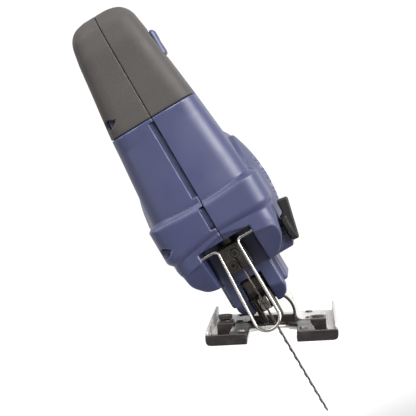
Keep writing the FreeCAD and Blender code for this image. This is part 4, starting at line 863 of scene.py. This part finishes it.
def cover_field(x, y, z):
    """The black front cover: arms on the plate, two front lips, and at the saddle's front a black arched rim
    with a plate under it, which are painted shade.
    """
    ax = np.abs(x)
    plan = outline_field(ax, y, COVER_PLAN)
    arms = both(both(plan, -outline_field(x, y, SLOT)), slab(z, SHEET + 0.03, SHEET + 1.6), 0.35)
    lip_face = outline_field(ax, z, LIP_FACE)
    lips = both(lip_face, slab(y, SHOE_FRONT + 0.02, SHOE_FRONT + 1.75), 0.7)
    fold_section = both(slab(y, SHOE_FRONT + 0.4, SHOE_FRONT + 4), slab(z, 2.0, 3.6))
    fold = both(both(ax - 36.6, 14.6 - ax), fold_section, 0.4)
    # Painted shade: a black rim on the saddle's front edge and a black plate closing the arch below its axis,
    # where that edge and the arch's mouth lie in shadow.
    shade_rim = both(arch_section(x, z), slab(y, 24.4, 26.4), 0.5)
    shade_plate = both(both(slab(y, 24.4, 26.2), ax - 13.4), slab(z, SHEET, BEVEL_AXIS - 0.4), 0.6)
    shade_rim = union(shade_rim, shade_plate, 0.6)
    return union(union(union(arms, lips, 0.6), fold, 0.6), shade_rim, 0.5)


def block_field(x, y, z):
    """A fence clamp block with its chamfers, collar, thread and the channel under it."""
    ax = np.abs(x)
    block = box_field(ax, y, z, ((22.8, 32.2), (FENCE_Y - 10.4, FENCE_Y + 10.4), (3.65, 11.6)), 0.5)
    block = both(block, (26.6 - ax - 0.62 * (z - 3.65)) * 0.85, 0.4)
    off = np.hypot(ax - BLOCK_X, y - FENCE_Y)
    block = union(block, both(off - 3.5, slab(z, 9.0, 12.55), 0.4), 0.3)
    block = without(block, both(slab(y, FENCE_Y - 8, FENCE_Y + 8), z - 7.8), 0.3)
    return without(block, off - 2.4, 0.4)


def thumb_screw_field(x, y, z):
    """The fence screw: a fluted head with a socket, and its stem."""
    u, v = x + BLOCK_X, y - FENCE_Y
    off = np.hypot(u, v)
    angle = np.arctan2(v, u)
    head = both(off - 4.15 + 0.35 * np.maximum(np.cos(12 * angle), -0.3), slab(z, 12.95, 15.75), 0.5)
    hexagon = off * np.cos(np.mod(angle, math.pi / 3) - math.pi / 6) - 1.9
    head = without(head, both(hexagon, 14.2 - z), 0.3)
    return union(head, both(off - 2.2, slab(z, 6.1, 13.5)), 0.3)


def build_shoe():
    """The plate, saddle, front cover, fence blocks and fence screw, tilted as they stand at rest."""
    spans = ((-39, 39), (-58, 92), (0, 8.5))
    plate = carve("sole_plate", plate_field, spans, (0.7, 0.9, 0.45), move=TILT)
    finish_piece(plate, "shoe", "zinc_steel", "base_plate")
    spans = ((-30, 30), (26, 72.5), (2, 22.2))
    saddle = carve("saddle", saddle_field, spans, (0.55, 0.9, 0.5), move=TILT)
    finish_piece(saddle, "shoe", "zinc_steel", "bevel_saddle")
    spans = ((-39, 39), (-58, 26.6), (0, 22.2))
    cover = carve("front_cover", cover_field, spans, (0.5, 0.5, 0.4), move=TILT)
    finish_piece(cover, "shoe", "black_steel", "shoe_front_cover")
    for side, name in ((1, "left"), (-1, "right")):
        spans = ((22, 33) if side > 0 else (-33, -22), (-45, -23), (3.6, 12.7))
        block = carve("clamp_block_" + name, block_field, spans, 0.35, move=TILT)
        finish_piece(block, "shoe", "black_steel", "fence_block_" + name)
    spans = ((-32, -23), (-39, -29), (6, 16))
    screw = carve("thumb_screw", thumb_screw_field, spans, 0.25, move=TILT)
    finish_piece(screw, "fence_screw", "dark_steel", "fence_screw")


build_body()
build_plunger_end()
build_controls()
build_guard()
build_shoe()


# ------------------------------------------------------------------ stage, light and camera

FLOOR_GAP = 0.022                        # metres between the lowest point and the floor
MIDDLE = Vector((0.0, 0.0, 0.09))        # what the lamps look at, in metres


def stage():
    """A round floor whose paper glows, and the surroundings, both brighter towards the rear than the front.
    """
    mesh = bpy.data.meshes.new("floor")
    shape = bmesh.new()
    bmesh.ops.create_circle(shape, cap_ends=True, segments=96, radius=6.0)
    shape.to_mesh(mesh)
    shape.free()
    floor = bpy.data.objects.new("floor", mesh)
    floor.location.z = CAD_BOX[0][2] - FLOOR_GAP
    bpy.context.scene.collection.objects.link(floor)
    glowing_paper, tree, principled, place = shader("glowing_paper")
    principled.inputs["Base Color"].default_value = (0.26, 0.26, 0.26, 1.0)
    principled.inputs["Roughness"].default_value = 1.0
    principled.inputs["Specular IOR Level"].default_value = 0.0
    # Painted light: the floor's paper glows, from dark grey at the front to near white at the rear, and
    # lights the object from below.
    split = tree.nodes.new("ShaderNodeSeparateXYZ")
    tree.links.new(place, split.inputs["Vector"])
    share = spread(tree, split.outputs["Y"], 0.06, 0.85, -0.15, 0.13)
    glow = blend_colour(tree, share, (0.0, 0.0, 0.0), (1.0, 1.0, 1.0))
    tree.links.new(glow, principled.inputs["Emission Color"])
    principled.inputs["Emission Strength"].default_value = 1.0
    mesh.materials.append(glowing_paper)

    world = bpy.data.worlds.new("surroundings")
    bpy.context.scene.world = world
    world.use_nodes = True
    sky = world.node_tree
    background = sky.nodes["Background"]
    background.inputs["Color"].default_value = (1.0, 1.0, 1.0, 1.0)
    way = sky.nodes.new("ShaderNodeSeparateXYZ")
    sky.links.new(sky.nodes.new("ShaderNodeTexCoord").outputs["Generated"], way.inputs["Vector"])
    sky.links.new(spread(sky, way.outputs["Y"], 0.36, 1.05, -0.5, 0.7), background.inputs["Strength"])


def lamp(name, spot, size, power):
    """A soft box that looks at the middle of the object."""
    light = bpy.data.lights.new(name, "AREA")
    light.shape = "RECTANGLE"
    light.size, light.size_y = size
    light.energy = power
    item = bpy.data.objects.new(name, light)
    item.location = spot
    item.rotation_euler = (MIDDLE - Vector(spot)).to_track_quat("-Z", "Y").to_euler()
    bpy.context.scene.collection.objects.link(item)


def camera():
    """The camera looks at the nose from a little to the left side, rolled so that the body leans."""
    azimuth, elevation, roll = math.radians(4.06), math.radians(1.31), math.radians(30.72)
    target = Vector((0.34, 0.0, 87.53)) * MM
    distance = 1203.45 * MM
    level = math.cos(elevation)
    back = Vector((math.sin(azimuth) * level, -math.cos(azimuth) * level, math.sin(elevation)))
    data = bpy.data.cameras.new("camera")
    data.lens = 170.5
    data.sensor_width = 36.0
    item = bpy.data.objects.new("camera", data)
    item.location = target + back * distance
    item.rotation_mode = "QUATERNION"
    rolled = Matrix.Rotation(-roll, 3, "Z").to_quaternion()
    item.rotation_quaternion = back.to_track_quat("Z", "Y") @ rolled
    bpy.context.scene.collection.objects.link(item)
    bpy.context.scene.camera = item


stage()
lamp("key", (1.05, -0.80, 0.40), (0.8, 1.4), 46.0)
lamp("fill", (-0.9, -1.1, 0.7), (0.8, 0.8), 5.0)
lamp("top", (-0.2, -0.3, 1.4), (0.9, 0.9), 12.0)
camera()
bpy.context.scene.view_settings.view_transform = "Standard"

# The plunger rod keeps its slot's dark_steel finish, painted shade for a ground steel rod in shadow under the
# mouth's roof.
for name in NODES:
    if name not in REPLACED:
        keep(name)
